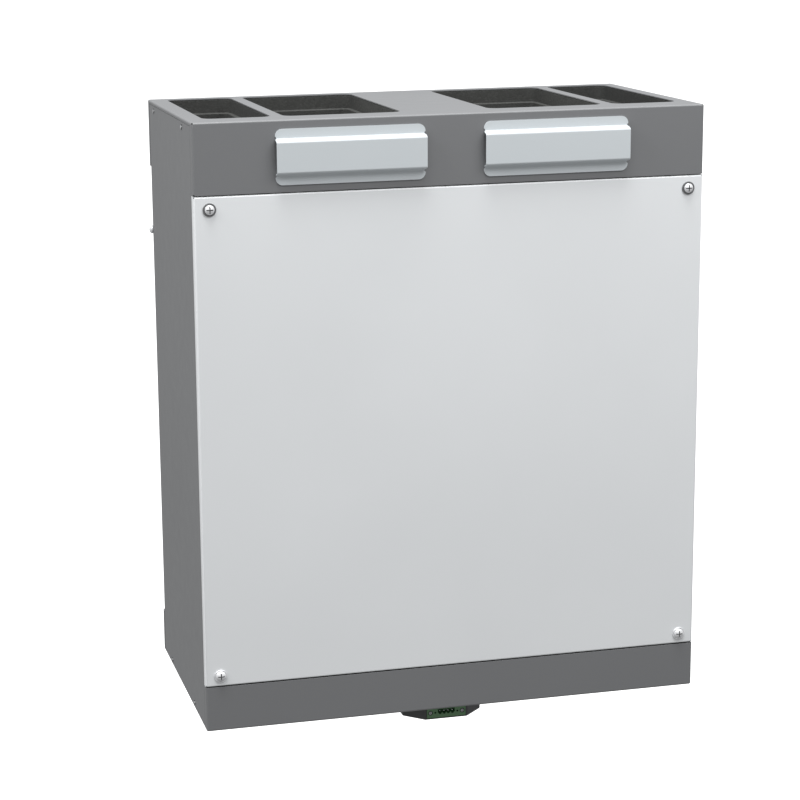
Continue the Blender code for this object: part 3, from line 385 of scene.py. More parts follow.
zinc = zinc_sheet("zinc_spangle")
steel_front = turned_steel("bright_steel_front", "Y")
steel_side = turned_steel("bright_steel_side", "X")
motor_metal = cast_metal("cast_aluminium")
print("metals:", [m.name for m in (zinc, steel_front, steel_side, motor_metal)])

# %% [markdown]
# ## Plastics
#
# Moulded parts copy the texture of their tool: a fine spark-eroded grain that
# breaks up the gloss.  The same recipe serves the black fan housings, the pale
# tray and rails, the green terminal block, the thin exchanger plates and the
# sheaths of the leads, and a dark grey that is painted shade on the upper
# washers and in the screws' cross recesses.

# %% Plastics
def moulded(name, colour, roughness, texture=0.00004, clear=0.0):
    material, tree, shader = start_finish(name, colour, roughness)
    flow = spread(tree, grain(tree, 22.0, 3.0), 0.0, 1.0)
    tree.links.new(blend_colours(tree, flow, shade(colour, 0.90), shade(colour, 1.12)),
                   shader.inputs["Base Color"])
    tree.links.new(spread(tree, grain(tree, 400.0), roughness - 0.07, roughness + 0.08),
                   shader.inputs["Roughness"])
    raise_surface(tree, shader, grain(tree, 1500.0, 2.0), texture)
    shader.inputs["Coat Weight"].default_value = clear
    return material


black_plastic = moulded("black_moulding", (0.062, 0.065, 0.066), 0.48)
pale_plastic = moulded("pale_moulding", (0.60, 0.62, 0.60), 0.46)
plate_plastic = moulded("exchanger_plates", (0.58, 0.68, 0.73), 0.34, 0.00002)
green_plastic = moulded("green_moulding", (0.115, 0.235, 0.115), 0.42)
green_deep = moulded("green_recess", (0.090, 0.240, 0.100), 0.50)
# This dark grey is painted shade: on the washers of the upper cover screws and in every cross recess.
dark_rubber = moulded("dark_rubber", (0.15, 0.153, 0.157), 0.50)
cable_sheath = moulded("cable_sheath", (0.045, 0.045, 0.047), 0.42, 0.00002)
print("plastics:", [m.name for m in (black_plastic, pale_plastic, plate_plastic, green_plastic,
                                     green_deep, dark_rubber, cable_sheath)])

# %% [markdown]
# ## Fibre and board
#
# The filter frame is card with visible fibres, and its fleece is a mat of fine
# threads that scatters light, so it gets a little sheen.  The pull strap is
# woven: two crossing wave patterns make its warp and weft.  The circuit board
# is green lacquer over copper tracks.

# %% Fibre and board
def fibre_mat(name, colour, scale, depth, sheen):
    material, tree, shader = start_finish(name, colour, 0.95)
    stretched = add(tree, "Mapping")
    stretched.inputs["Scale"].default_value = (1.0, 0.25, 1.0)
    tree.links.new(object_place(tree), stretched.inputs["Vector"])
    threads = grain(tree, scale, 5.0, stretched.outputs["Vector"])
    tree.links.new(blend_colours(tree, spread(tree, threads, 0.0, 1.0), shade(colour, 0.80),
                                 shade(colour, 1.08)), shader.inputs["Base Color"])
    raise_surface(tree, shader, threads, depth)
    shader.inputs["Sheen Weight"].default_value = sheen
    return material


def woven_band(name, colour, pitch):
    material, tree, shader = start_finish(name, colour, 0.85)
    place = object_place(tree)
    crossed = add(tree, "Math", operation="MULTIPLY")
    for socket, direction in zip(crossed.inputs, ("X", "Z")):
        wave = add(tree, "TexWave", {"Scale": math.pi / (10 * pitch)}, bands_direction=direction)
        tree.links.new(place, wave.inputs["Vector"])
        tree.links.new(wave.outputs["Fac"], socket)
    tree.links.new(blend_colours(tree, crossed.outputs["Value"], shade(colour, 0.5), shade(colour, 1.8)),
                   shader.inputs["Base Color"])
    raise_surface(tree, shader, crossed.outputs["Value"], 0.0003)
    shader.inputs["Sheen Weight"].default_value = 0.3
    return material


def board_lacquer(name):
    material, tree, shader = start_finish(name, (0.02, 0.14, 0.06), 0.25)
    tracks = add(tree, "TexBrick", {"Scale": 1.0, "Mortar Size": 0.0005, "Brick Width": 0.014,
                                    "Row Height": 0.0042, "Mortar Smooth": 0.2})
    turned_place = add(tree, "Mapping")
    turned_place.inputs["Rotation"].default_value = (math.radians(90), 0.0, 0.0)
    tree.links.new(object_place(tree), turned_place.inputs["Vector"])
    tree.links.new(turned_place.outputs["Vector"], tracks.inputs["Vector"])
    tree.links.new(blend_colours(tree, tracks.outputs["Fac"], (0.018, 0.12, 0.05), (0.05, 0.24, 0.10)),
                   shader.inputs["Base Color"])
    raise_surface(tree, shader, tracks.outputs["Fac"], 0.00006)
    shader.inputs["Coat Weight"].default_value = 0.5
    return material


card = fibre_mat("filter_card", (0.36, 0.335, 0.28), 900.0, 0.00006, 0.0)
fleece = fibre_mat("filter_fleece", (0.40, 0.405, 0.39), 1400.0, 0.0003, 0.4)
webbing = woven_band("strap_webbing", (0.035, 0.035, 0.037), 0.0012)
board_green = board_lacquer("board_lacquer")
print("fibres and board:", [m.name for m in (card, fleece, webbing, board_green)])

# %% [markdown]
# ## Making shapes
#
# Most pieces of such a unit are sheet metal, so most shapes here are an outline
# pushed along an axis, then cut.  The outline is a list of points in a plane, and
# a small table says which way each plane faces.  Cuts are exact Booleans that are
# applied at once, so that no hidden cutter is left behind in the scene.

# %% Outlines
PLANES = {
    "X": lambda a, b, c: (c, a, b),     # outline in (Y, Z), pushed along X
    "Y": lambda a, b, c: (a, c, b),     # outline in (X, Z), pushed along Y
    "Z": lambda a, b, c: (a, b, c),     # outline in (X, Y), pushed along Z
}


def arc(centre, radius, start, end, steps):
    """Points on an arc; angles in degrees."""
    angles = [math.radians(start + (end - start) * i / steps) for i in range(steps + 1)]
    return [(centre[0] + radius * math.cos(a), centre[1] + radius * math.sin(a)) for a in angles]


def rectangle(low, high):
    return [(low[0], low[1]), (high[0], low[1]), (high[0], high[1]), (low[0], high[1])]


def rounded_rectangle(low, high, radius, steps=8):
    x0, y0 = low[0] + radius, low[1] + radius
    x1, y1 = high[0] - radius, high[1] - radius
    return (arc((x1, y1), radius, 0, 90, steps) + arc((x0, y1), radius, 90, 180, steps)
            + arc((x0, y0), radius, 180, 270, steps) + arc((x1, y0), radius, 270, 360, steps))


def folded_strip(path, thickness, radius, steps=6):
    """Outline of sheet of one thickness that follows a path with rounded folds."""
    points = [Vector(p) for p in path]
    middle = []
    for i, point in enumerate(points):
        if i in (0, len(points) - 1):
            step = points[1] - points[0] if i == 0 else points[-1] - points[-2]
            middle.append((point, step.normalized().orthogonal()))
            continue
        before = (point - points[i - 1]).normalized()
        after = (points[i + 1] - point).normalized()
        turn = before.angle_signed(after)
        start = point - before * radius * math.tan(abs(turn) / 2)
        hub = start + before.orthogonal() * (-radius if turn > 0 else radius)
        for k in range(steps + 1):
            swing = Matrix.Rotation(-turn * k / steps, 2)
            middle.append((hub + swing @ (start - hub), (swing @ before).orthogonal()))
    left = [tuple(p + n * thickness / 2) for p, n in middle]
    right = [tuple(p - n * thickness / 2) for p, n in middle]
    return left + right[::-1]


# %% Solids
def make_piece(name, bm, *materials):
    bmesh.ops.recalc_face_normals(bm, faces=bm.faces)
    mesh = bpy.data.meshes.new(name)
    bm.to_mesh(mesh)
    bm.free()
    for material in materials:
        mesh.materials.append(material)
    piece = bpy.data.objects.new(name, mesh)
    scene.collection.objects.link(piece)
    return piece


def add_block(bm, low, high):
    low, high = Vector(low), Vector(high)
    place = Matrix.Translation((low + high) / 2) @ Matrix.Diagonal((*(high - low), 1.0))
    return bmesh.ops.create_cube(bm, size=1.0, matrix=place)["verts"]


def add_prism(bm, outline, axis, start, end):
    place = PLANES[axis]
    face = bm.faces.new([bm.verts.new(place(a, b, start)) for a, b in outline])
    grown = bmesh.ops.extrude_face_region(bm, geom=[face])["geom"]
    moved = [v for v in grown if isinstance(v, bmesh.types.BMVert)]
    bmesh.ops.translate(bm, verts=moved, vec=place(0.0, 0.0, end - start))
    return moved


def block(name, low, high, *materials):
    bm = bmesh.new()
    add_block(bm, low, high)
    return make_piece(name, bm, *materials)


def prism(name, outline, axis, start, end, *materials):
    bm = bmesh.new()
    add_prism(bm, outline, axis, start, end)
    return make_piece(name, bm, *materials)


def turned(name, profile, centre, direction, *materials, segments=48, closed=False):
    """Turn a profile of (radius, distance along the axis) round an axis; origin at centre."""
    bm = bmesh.new()
    verts = [bm.verts.new((radius, 0.0, along)) for radius, along in profile]
    edges = [bm.edges.new(pair) for pair in zip(verts, verts[1:])]
    if closed:
        edges.append(bm.edges.new((verts[-1], verts[0])))
    bmesh.ops.spin(bm, geom=verts + edges, cent=(0, 0, 0), axis=(0, 0, 1), steps=segments,
                   angle=2 * math.pi, use_merge=True)
    bmesh.ops.remove_doubles(bm, verts=bm.verts, dist=1e-6)
    swing = Vector((0, 0, 1)).rotation_difference(Vector(direction)).to_matrix().to_4x4()
    bmesh.ops.transform(bm, matrix=swing, verts=bm.verts)
    piece = make_piece(name, bm, *materials)
    piece.location = centre
    return piece


def rod(start, end, radius, segments=24):
    """A plain round cutter between two points."""
    span = Vector(end) - Vector(start)
    profile = [(0.0, 0.0), (radius, 0.0), (radius, span.length), (0.0, span.length)]
    return turned("cutter", profile, start, span.normalized(), segments=segments)


# %% Cutting, softening and placing
def settle(piece):
    """Apply every modifier, so that the piece is a plain mesh again."""
    bpy.context.view_layer.update()
    solved = piece.evaluated_get(bpy.context.evaluated_depsgraph_get())
    mesh = bpy.data.meshes.new_from_object(solved)
    piece.modifiers.clear()
    piece.data = mesh


def shape_with(piece, tools, operation):
    for tool in tools:
        change = piece.modifiers.new("shape", "BOOLEAN")
        change.operation = operation
        change.solver = "EXACT"
        change.material_mode = "TRANSFER"
        change.object = tool
    settle(piece)
    for tool in tools:
        bpy.data.objects.remove(tool)


def cut(piece, *tools):
    shape_with(piece, tools, "DIFFERENCE")


def join(piece, *tools):
    shape_with(piece, tools, "UNION")


def soften(piece, width=0.0, steps=2, sharp=38):
    """Round the sharp edges by a width, and shade curves smoothly and flats flat."""
    if width:
        edges = piece.modifiers.new("edges", "BEVEL")
        edges.width = width
        edges.segments = steps
        edges.limit_method = "ANGLE"
        edges.angle_limit = math.radians(35)
        edges.harden_normals = False
        settle(piece)
    piece.data.shade_smooth()
    piece.data.set_sharp_from_angle(angle=math.radians(sharp))
    normals = piece.modifiers.new("normals", "WEIGHTED_NORMAL")
    normals.keep_sharp = True
    return piece


def paint_folds(piece):
    """Give the second material to every face that isn't square to the axes."""
    for face in piece.data.polygons:
        if max(abs(c) for c in face.normal) < 0.995:
            face.material_index = 1


def place(piece, body, slot, *nodes):
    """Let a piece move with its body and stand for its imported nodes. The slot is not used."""
    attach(piece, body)
    if nodes:
        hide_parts(*nodes)
    return piece


SIDES = (("left", -1), ("right", 1))

# %% [markdown]
# ## Upper and lower caps
#
# Each cap is one sheet: a plate with skirts folded down at the front and rear and
# short returns round the corners.  A block with bevelled edges gives the outer
# skin with its rounded folds, and cutters hollow it from inside.  The duct ports
# come from the openings that the record states, grown back to the cut edge.

# %% Sizes of the case
SHEET = 0.0012
FOLD = 0.0022
cap_low, cap_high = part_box("top_cap")
foot_low, foot_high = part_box("bottom_cap")
HALF = cap_high.x
FRONT = cap_low.y
TOP = cap_high.z
BASE = foot_low.z
RETURN_DEPTH = 0.0095
TOP_LIP = 0.004
INNER_FLANGE = 0.025
PORT_INSET = 0.0040                     # how far a stated mouth stays off the port's edge
PORT_RADIUS = 0.012
PINCH = 0.0012                          # room at a corner where three folds meet
SIDE_HOLE = 0.0034                      # radius of a side screw's hole in the sheet
FOAM_HOLE = 0.0024                      # and in the foam behind it

ports = {}
for opening in frame["record"]["physics"]["openings"]:
    if opening["name"].startswith("duct_mouth_"):
        low, high = opening["box_m"]
        ports[opening["name"][11:]] = ((low[0] - PORT_INSET, low[1] - PORT_INSET),
                                       (high[0] + PORT_INSET, high[1] + PORT_INSET))
for name, (low, high) in ports.items():
    print(name, "port in mm:", round((high[0] - low[0]) * 1000, 1), "x",
          round((high[1] - low[1]) * 1000, 1))

# Each side screw: how far behind the front face, and how high above the base
side_screws = [(0.0623, 0.6896), (0.2565, 0.6896), (0.0792, 0.0070), (0.2354, 0.0070)]


# %% A cap
def make_cap(name, plate, edge):
    """A cap between its plate's outer face and the free edge of its skirts."""
    inward = 1 if edge > plate else -1
    low, high = sorted((plate, edge))
    bm = bmesh.new()
    add_block(bm, (-HALF, FRONT, low), (HALF, 0.0, high))
    folds = []
    for fold in bm.edges:
        ends = [v.co for v in fold.verts]
        if abs(ends[0].z - ends[1].z) > FOLD or all(abs(v.z - plate) < FOLD for v in ends):
            folds.append(fold)
    bmesh.ops.bevel(bm, geom=folds, offset=FOLD, segments=6, profile=0.5, affect="EDGES")
    cap = make_piece(name, bm, grey_coat, grey_fold)
    paint_folds(cap)

    past, inside = edge + 0.010 * inward, plate + SHEET * inward
    flange_face = HALF - SHEET - 0.0002
    flange_back = flange_face - SHEET
    z0, z1 = sorted((past, inside))
    tools = [block("cutter", (-flange_back, FRONT + SHEET, z0), (flange_back, -SHEET, z1))]
    for y0, y1 in ((FRONT + SHEET, FRONT + RETURN_DEPTH + 0.004), (-RETURN_DEPTH - 0.004, -SHEET)):
        tools.append(block("cutter", (-HALF + SHEET, y0, z0), (HALF - SHEET, y1, z1)))
    for _, side in SIDES:
        for inner, reach in ((flange_face, TOP_LIP), (flange_back - 0.001, INNER_FLANGE)):
            x0, x1 = sorted((side * inner, side * (HALF + 0.01)))
            z2, z3 = sorted((past, plate + reach * inward))
            tools.append(block("cutter", (x0, FRONT + RETURN_DEPTH, z2), (x1, -RETURN_DEPTH, z3)))
    cut(cap, *tools)
    return cap


def drill_sides(piece, screws, radius, skin=HALF):
    """Round holes for the side screws, on both sides."""
    tools = []
    for _, side in SIDES:
        for back, height in screws:
            spot = (FRONT + back, BASE + height)
            tools.append(rod((side * (skin - 0.010), *spot), (side * (skin + 0.010), *spot), radius))
    cut(piece, *tools)


def corner_hole(side, z, up, radius):
    """A slanted cutter that opens the corner where three folds meet."""
    return rod((side * (HALF + PINCH), FRONT - PINCH, z + up * PINCH),
               (side * (HALF - 3 * PINCH), FRONT + 3 * PINCH, z - up * 3 * PINCH), radius)


# %% The upper cap
top_cap = make_cap("top_cap_sheet", TOP, cap_low.z)
tools = [prism("cutter", rounded_rectangle(*port, PORT_RADIUS), "Z", TOP - 0.010, TOP + 0.010)
         for port in ports.values()]
SLOT = (0.0785, 0.0175)                 # half the width and height of a filter slot
filter_places = {}
for label, side in SIDES:
    low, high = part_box("filter_cover_" + label)
    x, z = (low.x + high.x) / 2, (low.z + high.z) / 2
    filter_places[label] = (x, z)
    tools.append(prism("cutter", rectangle((x - SLOT[0], z - SLOT[1]), (x + SLOT[0], z + SLOT[1])),
                       "Y", FRONT - 0.01, FRONT + 0.01))
    corner = side * (HALF - SHEET / 2)
    tools.append(block("cutter", (corner - 0.0011, FRONT - 0.001, cap_low.z - 0.001),
                       (corner + 0.0011, FRONT + 0.0017, cap_low.z + 0.0014)))
    tools.append(corner_hole(side, TOP, 1, 0.0011))
cut(top_cap, *tools)
drill_sides(top_cap, side_screws[:2], SIDE_HOLE)
soften(top_cap)
place(top_cap, "casing", "casing_grey", "top_cap")
print("upper cap faces:", len(top_cap.data.polygons))

# %% The lower cap
bottom_cap = make_cap("bottom_cap_sheet", BASE, foot_high.z)
housing_low, housing_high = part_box("connector_housing")
pipe_low, pipe_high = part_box("drain_pipe")
HOUSING_X = (housing_low.x + housing_high.x) / 2
HOUSING_SHOULDER = FRONT + 0.045
DRAIN = ((pipe_low.x + pipe_high.x) / 2, (pipe_low.y + pipe_high.y) / 2)
cable_hole = rectangle((HOUSING_X - 0.040, HOUSING_SHOULDER + 0.006),
                       (HOUSING_X + 0.040, housing_high.y - 0.008))
cut(bottom_cap, prism("cutter", cable_hole, "Z", BASE - 0.01, BASE + 0.01),
    rod((*DRAIN, BASE - 0.01), (*DRAIN, BASE + 0.01), (pipe_high.x - pipe_low.x) / 2 + 0.0005, 40))
drill_sides(bottom_cap, side_screws[2:], SIDE_HOLE)
soften(bottom_cap)
place(bottom_cap, "casing", "casing_grey", "bottom_cap")
print("lower cap faces:", len(bottom_cap.data.polygons))

# %% [markdown]
# ## Front cover
#
# The white cover is a shallow tray: its rims turn back towards the wall all
# round.  The folds meet at a pinched corner with a tiny hole.  It is bevelled
# more finely than the case, because its light colour shows every facet.

# %% The front cover
SEAM = 0.0005                           # shadow gap that opens above and below the cover
cover_low, cover_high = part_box("front_cover")
bm = bmesh.new()
add_block(bm, (cover_low.x, cover_low.y, cover_low.z + SEAM),
          (cover_high.x, cover_high.y, cover_high.z - SEAM))
folds = [e for e in bm.edges if all(abs(v.co.y - cover_low.y) < FOLD for v in e.verts)]
bmesh.ops.bevel(bm, geom=folds, offset=FOLD, segments=8, profile=0.5, affect="EDGES")
cover = make_piece("front_cover_sheet", bm, white_coat, white_fold)
# The folds take the lighter white: a painted highlight along the cover's edges.
paint_folds(cover)
tools = [block("cutter", (cover_low.x + SHEET, FRONT + SHEET, cover_low.z + SEAM + SHEET),
               (cover_high.x - SHEET, cover_high.y + 0.01, cover_high.z - SEAM - SHEET))]
cover_screws = ["cover_screw_%s_%s" % (row, label) for row in ("top", "bottom")
                for label, _ in SIDES]
for name in cover_screws:
    low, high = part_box(name)
    x, z = (low.x + high.x) / 2, (low.z + high.z) / 2
    tools.append(rod((x, FRONT - 0.01, z), (x, FRONT + 0.006, z), 0.0036))
for _, side in SIDES:
    for z, up in ((cover_low.z + SEAM, -1), (cover_high.z - SEAM, 1)):
        tools.append(corner_hole(side, z, up, 0.0010))
cut(cover, *tools)
soften(cover)
place(cover, "front", "cover_white", "front_cover")
print("front cover faces:", len(cover.data.polygons))

# %% [markdown]
# ## Screws
#
# A cover screw has a round washer, a groove, and a domed head with a cross recess
# whose arms taper inwards.  The washers of the upper two are painted dark grey,
# painted shade.  The small screws on the sides are raised countersunk ones, each
# in a black ring that is painted shade.  Every cross recess is painted dark grey
# as painted shade.  Each screw keeps its origin at its own centre, so that the
# turning rings of the steel run round its own axis.

# %% Screw makers
def cross_tool(centre, direction, size, depth):
    """A cross-shaped cutter, narrower at its tip, sunk along -direction; its dark grey passes to the recess
    as painted shade.
    """
    bm = bmesh.new()
    thick = size * 0.15
    outline = [(thick, thick), (size, thick), (size, -thick), (thick, -thick),
               (thick, -size), (-thick, -size), (-thick, -thick), (-size, -thick),
               (-size, thick), (-thick, thick), (-thick, size), (thick, size)]
    tip = add_prism(bm, outline, "Z", depth, -depth)
    for vert in tip:
        vert.co.x *= 0.75
        vert.co.y *= 0.75
    swing = Vector((0, 0, 1)).rotation_difference(Vector(direction)).to_matrix().to_4x4()
    bmesh.ops.transform(bm, matrix=Matrix.Translation(centre) @ swing, verts=bm.verts)
    return make_piece("cutter", bm, dark_rubber)


def middle_of(node):
    low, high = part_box(node)
    return (low + high) / 2


# %% Cover screws
dome = arc((0.0, -0.0032), 0.0076, 84, 40, 8)
washer = [(0.0060, 0.0013), (0.0062, 0.0008), (0.0064, 0.0013), (0.0072, 0.0014),
          (0.0076, 0.0010), (0.0076, 0.0004)]
shank = [(0.0029, 0.0004), (0.0029, -0.0150), (0.0, -0.0170)]
WASHER_PAINTED_SHADE = 0.0054                    # the washer starts at this radius
for name in cover_screws:
    centre = middle_of(name)
    spot = (centre.x, FRONT, centre.z)
    screw = turned(name + "_steel", [(0.0, 0.0044)] + dome + washer + shank, spot, (0, -1, 0),
                   steel_front)
    screw.data.materials.append(dark_rubber)
    cut(screw, cross_tool((centre.x, FRONT - 0.0048, centre.z), (0, -1, 0), 0.0048, 0.0026))
    # On the upper two, faces beyond this radius take the dark grey: painted shade on the washer.
    for face in screw.data.polygons:
        if "top" in name and math.hypot(face.center.x, face.center.z) > WASHER_PAINTED_SHADE:
            face.material_index = 1
    soften(screw, sharp=30)
    place(screw, "front", "polished_steel", name)

# %% Side screws
small_head = [(0.0, 0.0009), (0.0010, 0.00086), (0.0019, 0.0006), (0.0021, 0.0002), (0.0030, 0.0),
              (0.0017, -0.0001), (0.0017, -0.0060), (0.0, -0.0060)]
SIDE_HEAD_PAINTED_SHADE = 0.0017                      # the dark ring starts at this radius
for label, side in SIDES:
    for i, (back, height) in enumerate(side_screws):
        name = "side_screw_%s_%d" % (label, i + 1)
        spot = (side * (HALF + 0.0003), FRONT + back, BASE + height)
        screw = turned(name + "_steel", small_head, spot, (side, 0, 0), steel_side, segments=24)
        # The black second finish is painted shade: a dark ring round the head.
        screw.data.materials.append(black_plastic)
        cut(screw, cross_tool((side * (HALF + 0.0014), *spot[1:]), (side, 0, 0), 0.0015, 0.0012))
        for face in screw.data.polygons:
            if math.hypot(face.center.y, face.center.z) > SIDE_HEAD_PAINTED_SHADE:
                face.material_index = 1
        soften(screw, sharp=30)
        place(screw, "casing", "polished_steel", name)

# %% Hook rail screws
round_head = [(0.0, 0.0034)] + arc((0.0, -0.0030), 0.0064, 84, 42, 8) + [
    (0.0049, 0.0), (0.0020, 0.0), (0.0020, -0.0120), (0.0, -0.0120)]
RAIL_SCREW_SEAT = 0.2975                # where the head's underside sits
for label, side in SIDES:
    name = "rail_screw_" + label
    centre = middle_of(name)
    screw = turned(name + "_steel", round_head, (side * RAIL_SCREW_SEAT, centre.y, centre.z),
                   (side, 0, 0), steel_side, segments=32)
    cut(screw, cross_tool((side * (RAIL_SCREW_SEAT + 0.0036), centre.y, centre.z), (side, 0, 0),
                          0.0026, 0.0020))
    soften(screw, sharp=30)
    place(screw, "casing", "polished_steel", name)
print("screws:", len(cover_screws), "on the cover and", 2 * len(side_screws), "on the sides")

# %% [markdown]
# ## Filter covers
#
# Each filter hides behind a hat-shaped plate: flat flanges above and below, and a
# raised band between them that fingers can grip from its open ends.  The folded
# outline is pushed along X, trimmed to rounded corners, and notched where a
# flange meets the band, so that the sheet could fold there without tearing.  The
# second finish goes only on the band's upper slope, as painted shade.

# %% Filter covers
GRIP_SHEET = 0.0010
GRIP_CORNER = 0.008
BAND = (0.020, 0.017)                   # half heights of the band at its root and crest
for label, side in SIDES:
    low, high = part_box("filter_cover_" + label)
    x, z = filter_places[label]
    half = (high.x - low.x) / 2
    half_flange = (high.z - low.z) / 2
    back = high.y - GRIP_SHEET / 2
    crest = low.y + GRIP_SHEET / 2
    path = [(back, z - half_flange), (back, z - BAND[0]), (crest, z - BAND[1]),
            (crest, z + BAND[1]), (back, z + BAND[0]), (back, z + half_flange)]
    plate = prism("filter_cover_sheet_" + label, folded_strip(path, GRIP_SHEET, 0.0018, 8), "X",
                  x - half, x + half, silver_coat, silver_fold)
    keep = prism("cutter", rounded_rectangle((x - half, z - half_flange), (x + half, z + half_flange),
                                             GRIP_CORNER, 12), "Y", FRONT - 0.03, FRONT + 0.01)
    shape_with(plate, [keep], "INTERSECT")
    notches = []
    for along in (-1, 1):
        for up in (-1, 1):
            spot = (x + along * (half + 0.0004), z + up * (BAND[0] + 0.0010))
            notches.append(rod((spot[0], FRONT - 0.0032, spot[1]), (spot[0], FRONT + 0.003, spot[1]),
                               0.0017))
    cut(plate, *notches)
    soften(plate, 0.00022, 2)
    # Faces on the upward slope take the darker silver: painted shade that calms the highlight there.
    for face in plate.data.polygons:
        face.material_index = 1 if face.normal.z > 0.1 and face.normal.y < -0.1 else 0
    place(plate, "grip_" + label, "grip_white", "filter_cover_" + label)
    print("filter cover", label, "faces:", len(plate.data.polygons))

# %% [markdown]
# ## Foam under the ports
#
# The foam block under the top plate carries the stepped duct sockets: a duct
# adaptor stops on the step, and the air goes on through the narrower throat.
# Its mouldings have no sharp edges, so the whole block gets a small round.

# %% Port block
PORT_LEDGE = 0.004
PORT_SOCKET = 0.018
block_low, block_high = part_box("port_block")
foam_low, foam_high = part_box("foam_body")
port_block = block("port_block_foam", block_low, block_high, foam)
rim = cover_high.y + 0.003
tools = [block("cutter", (-HALF, FRONT - 0.01, block_low.z - 0.01),
               (HALF, rim, cover_high.z + 0.0021))]
for low, high in ports.values():
    step = PORT_LEDGE
    throat = rounded_rectangle((low[0] + step, low[1] + step), (high[0] - step, high[1] - step),
                               PORT_RADIUS - step)
    tools.append(prism("cutter", rounded_rectangle(low, high, PORT_RADIUS), "Z",
                       TOP - PORT_SOCKET, TOP + 0.01))
    tools.append(prism("cutter", throat, "Z", block_low.z - 0.01, TOP - PORT_SOCKET / 2))
slot_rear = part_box("filter_frame_left")[1].y + 0.0025
for x, z in filter_places.values():
    tools.append(block("cutter", (x - SLOT[0], FRONT - 0.01, z - SLOT[1]),
                       (x + SLOT[0], slot_rear, z + SLOT[1])))
cut(port_block, *tools)
drill_sides(port_block, side_screws[:2], FOAM_HOLE, block_high.x)
soften(port_block, 0.0009, 3)
place(port_block, "casing", "black_foam", "port_block")
print("port block faces:", len(port_block.data.polygons))

# %% [markdown]
# ## Terminal housing
#
# Under the base hangs a small black housing whose plan is a bay window: a narrow
# front and sides that sweep back.  A green pluggable header looks out of its
# front.  The header has a shrouded recess with four half-round keyways, a pin in
# each, two small coding holes, and a fixing screw at either end.

# %% Terminal housing
HOUSING_WALL = 0.0016
NARROW, WIDE = 0.0260, (housing_high.x - housing_low.x) / 2
header_low, header_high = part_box("terminal_header")


def housing_plan(inset):
    y0, y1 = housing_low.y + inset, HOUSING_SHOULDER + inset * 0.4
    y2 = housing_high.y - inset
    near, far = NARROW - inset * 0.4, WIDE - inset
    return [(HOUSING_X - near, y0), (HOUSING_X + near, y0), (HOUSING_X + far, y1),
            (HOUSING_X + far, y2), (HOUSING_X - far, y2), (HOUSING_X - far, y1)]


bm = bmesh.new()
add_prism(bm, housing_plan(0.0), "Z", housing_low.z, housing_high.z)
rounds = [e for e in bm.edges if not all(v.co.z > housing_high.z - 0.001 for v in e.verts)]
bmesh.ops.bevel(bm, geom=rounds, offset=0.0016, segments=5, profile=0.5, affect="EDGES")
housing = make_piece("terminal_housing", bm, black_plastic)
slack = 0.0004
cut(housing, prism("cutter", housing_plan(HOUSING_WALL), "Z", housing_low.z + HOUSING_WALL,
                   housing_high.z + 0.01),
    block("cutter", (header_low.x - slack, housing_low.y - 0.01, header_low.z - slack),
          (header_high.x + slack, housing_low.y + 0.01, header_high.z + slack)))
soften(housing)
place(housing, "casing", "black_plastic", "connector_housing")

# %% Terminal header
PIN_PITCH = 0.00508
POLES = 4
CODING_HOLE_X, FIXING_SCREW_X = 0.0136, 0.0196      # from the middle of the header
middle_x = (header_low.x + header_high.x) / 2
middle_z = (header_low.z + header_high.z) / 2
sill = middle_z + 0.0002
recess_back = header_high.y - 0.0018
bm = bmesh.new()
add_block(bm, header_low, header_high)
bmesh.ops.bevel(bm, geom=list(bm.edges), offset=0.0003, segments=2, profile=0.5, affect="EDGES")
header = make_piece("terminal_header_body", bm, green_plastic, green_deep)
half_span = (POLES * PIN_PITCH + 0.0008) / 2
recess = [(middle_x - half_span, header_high.z - 0.0008), (middle_x - half_span, sill)]
poles = [middle_x + (i - (POLES - 1) / 2) * PIN_PITCH for i in range(POLES)]
for pole in poles:
    recess += arc((pole, sill), 0.0019, 180, 360, 10)
recess += [(middle_x + half_span, sill), (middle_x + half_span, header_high.z - 0.0008)]
recess_tool = prism("cutter", recess, "Y", header_low.y - 0.01, recess_back, green_deep)
screw_z = middle_z + 0.0006
tools = [recess_tool]
for _, side in SIDES:
    hole, spot = middle_x + side * CODING_HOLE_X, middle_x + side * FIXING_SCREW_X
    tools.append(rod((hole, header_low.y - 0.01, screw_z), (hole, header_low.y + 0.004, screw_z), 0.0012))
    tools.append(rod((spot, header_low.y - 0.01, screw_z), (spot, header_low.y + 0.0012, screw_z), 0.0028))
    # The counterbore round each fixing screw takes black: painted shade in the recess.
    tools[-1].data.materials.append(black_plastic)
    tools.append(rod((spot, header_low.y, screw_z), (spot, header_low.y + 0.008, screw_z), 0.0015))
cut(header, *tools)
soften(header)
place(header, "casing", "green_terminal", "terminal_header")

# %% Header pins and screws
for i, pole in enumerate(poles):
    bm = bmesh.new()
    width = 0.0005
    add_block(bm, (pole - width, header_low.y + 0.0015, sill + 0.0012),
              (pole + width, recess_back + 0.0004, sill + 0.0012 + 2 * width))
    bmesh.ops.bevel(bm, geom=list(bm.edges), offset=0.00015, segments=2, affect="EDGES")
    pin = make_piece("header_pin_%d" % (i + 1), bm, steel_front)
    place(soften(pin), "casing", "polished_steel")
flat_head = [(0.0, 0.0004), (0.0011, 0.00036), (0.0017, 0.0001), (0.0019, -0.0002), (0.0019, -0.0008),
             (0.0011, -0.0008), (0.0011, -0.0070), (0.0, -0.0070)]
for label, side in SIDES:
    spot = (middle_x + side * FIXING_SCREW_X, header_low.y, screw_z)
    screw = turned("header_screw_steel_" + label, flat_head, spot, (0, -1, 0), motor_metal,
                   segments=32)
    cut(screw, cross_tool((spot[0], spot[1] - 0.0007, screw_z), (0, -1, 0), 0.0015, 0.0007))
    soften(screw, sharp=30)
    place(screw, "casing", "polished_steel", "header_screw_" + label)
print("header poles:", POLES, "at a pitch of", PIN_PITCH * 1000, "mm")

# %% [markdown]
# ## Drain pipe
#
# Condensate leaves by a spigot under the base.  A hose is pushed over it, so the
# spigot has three saw-tooth barbs that let the hose on and hold it there.

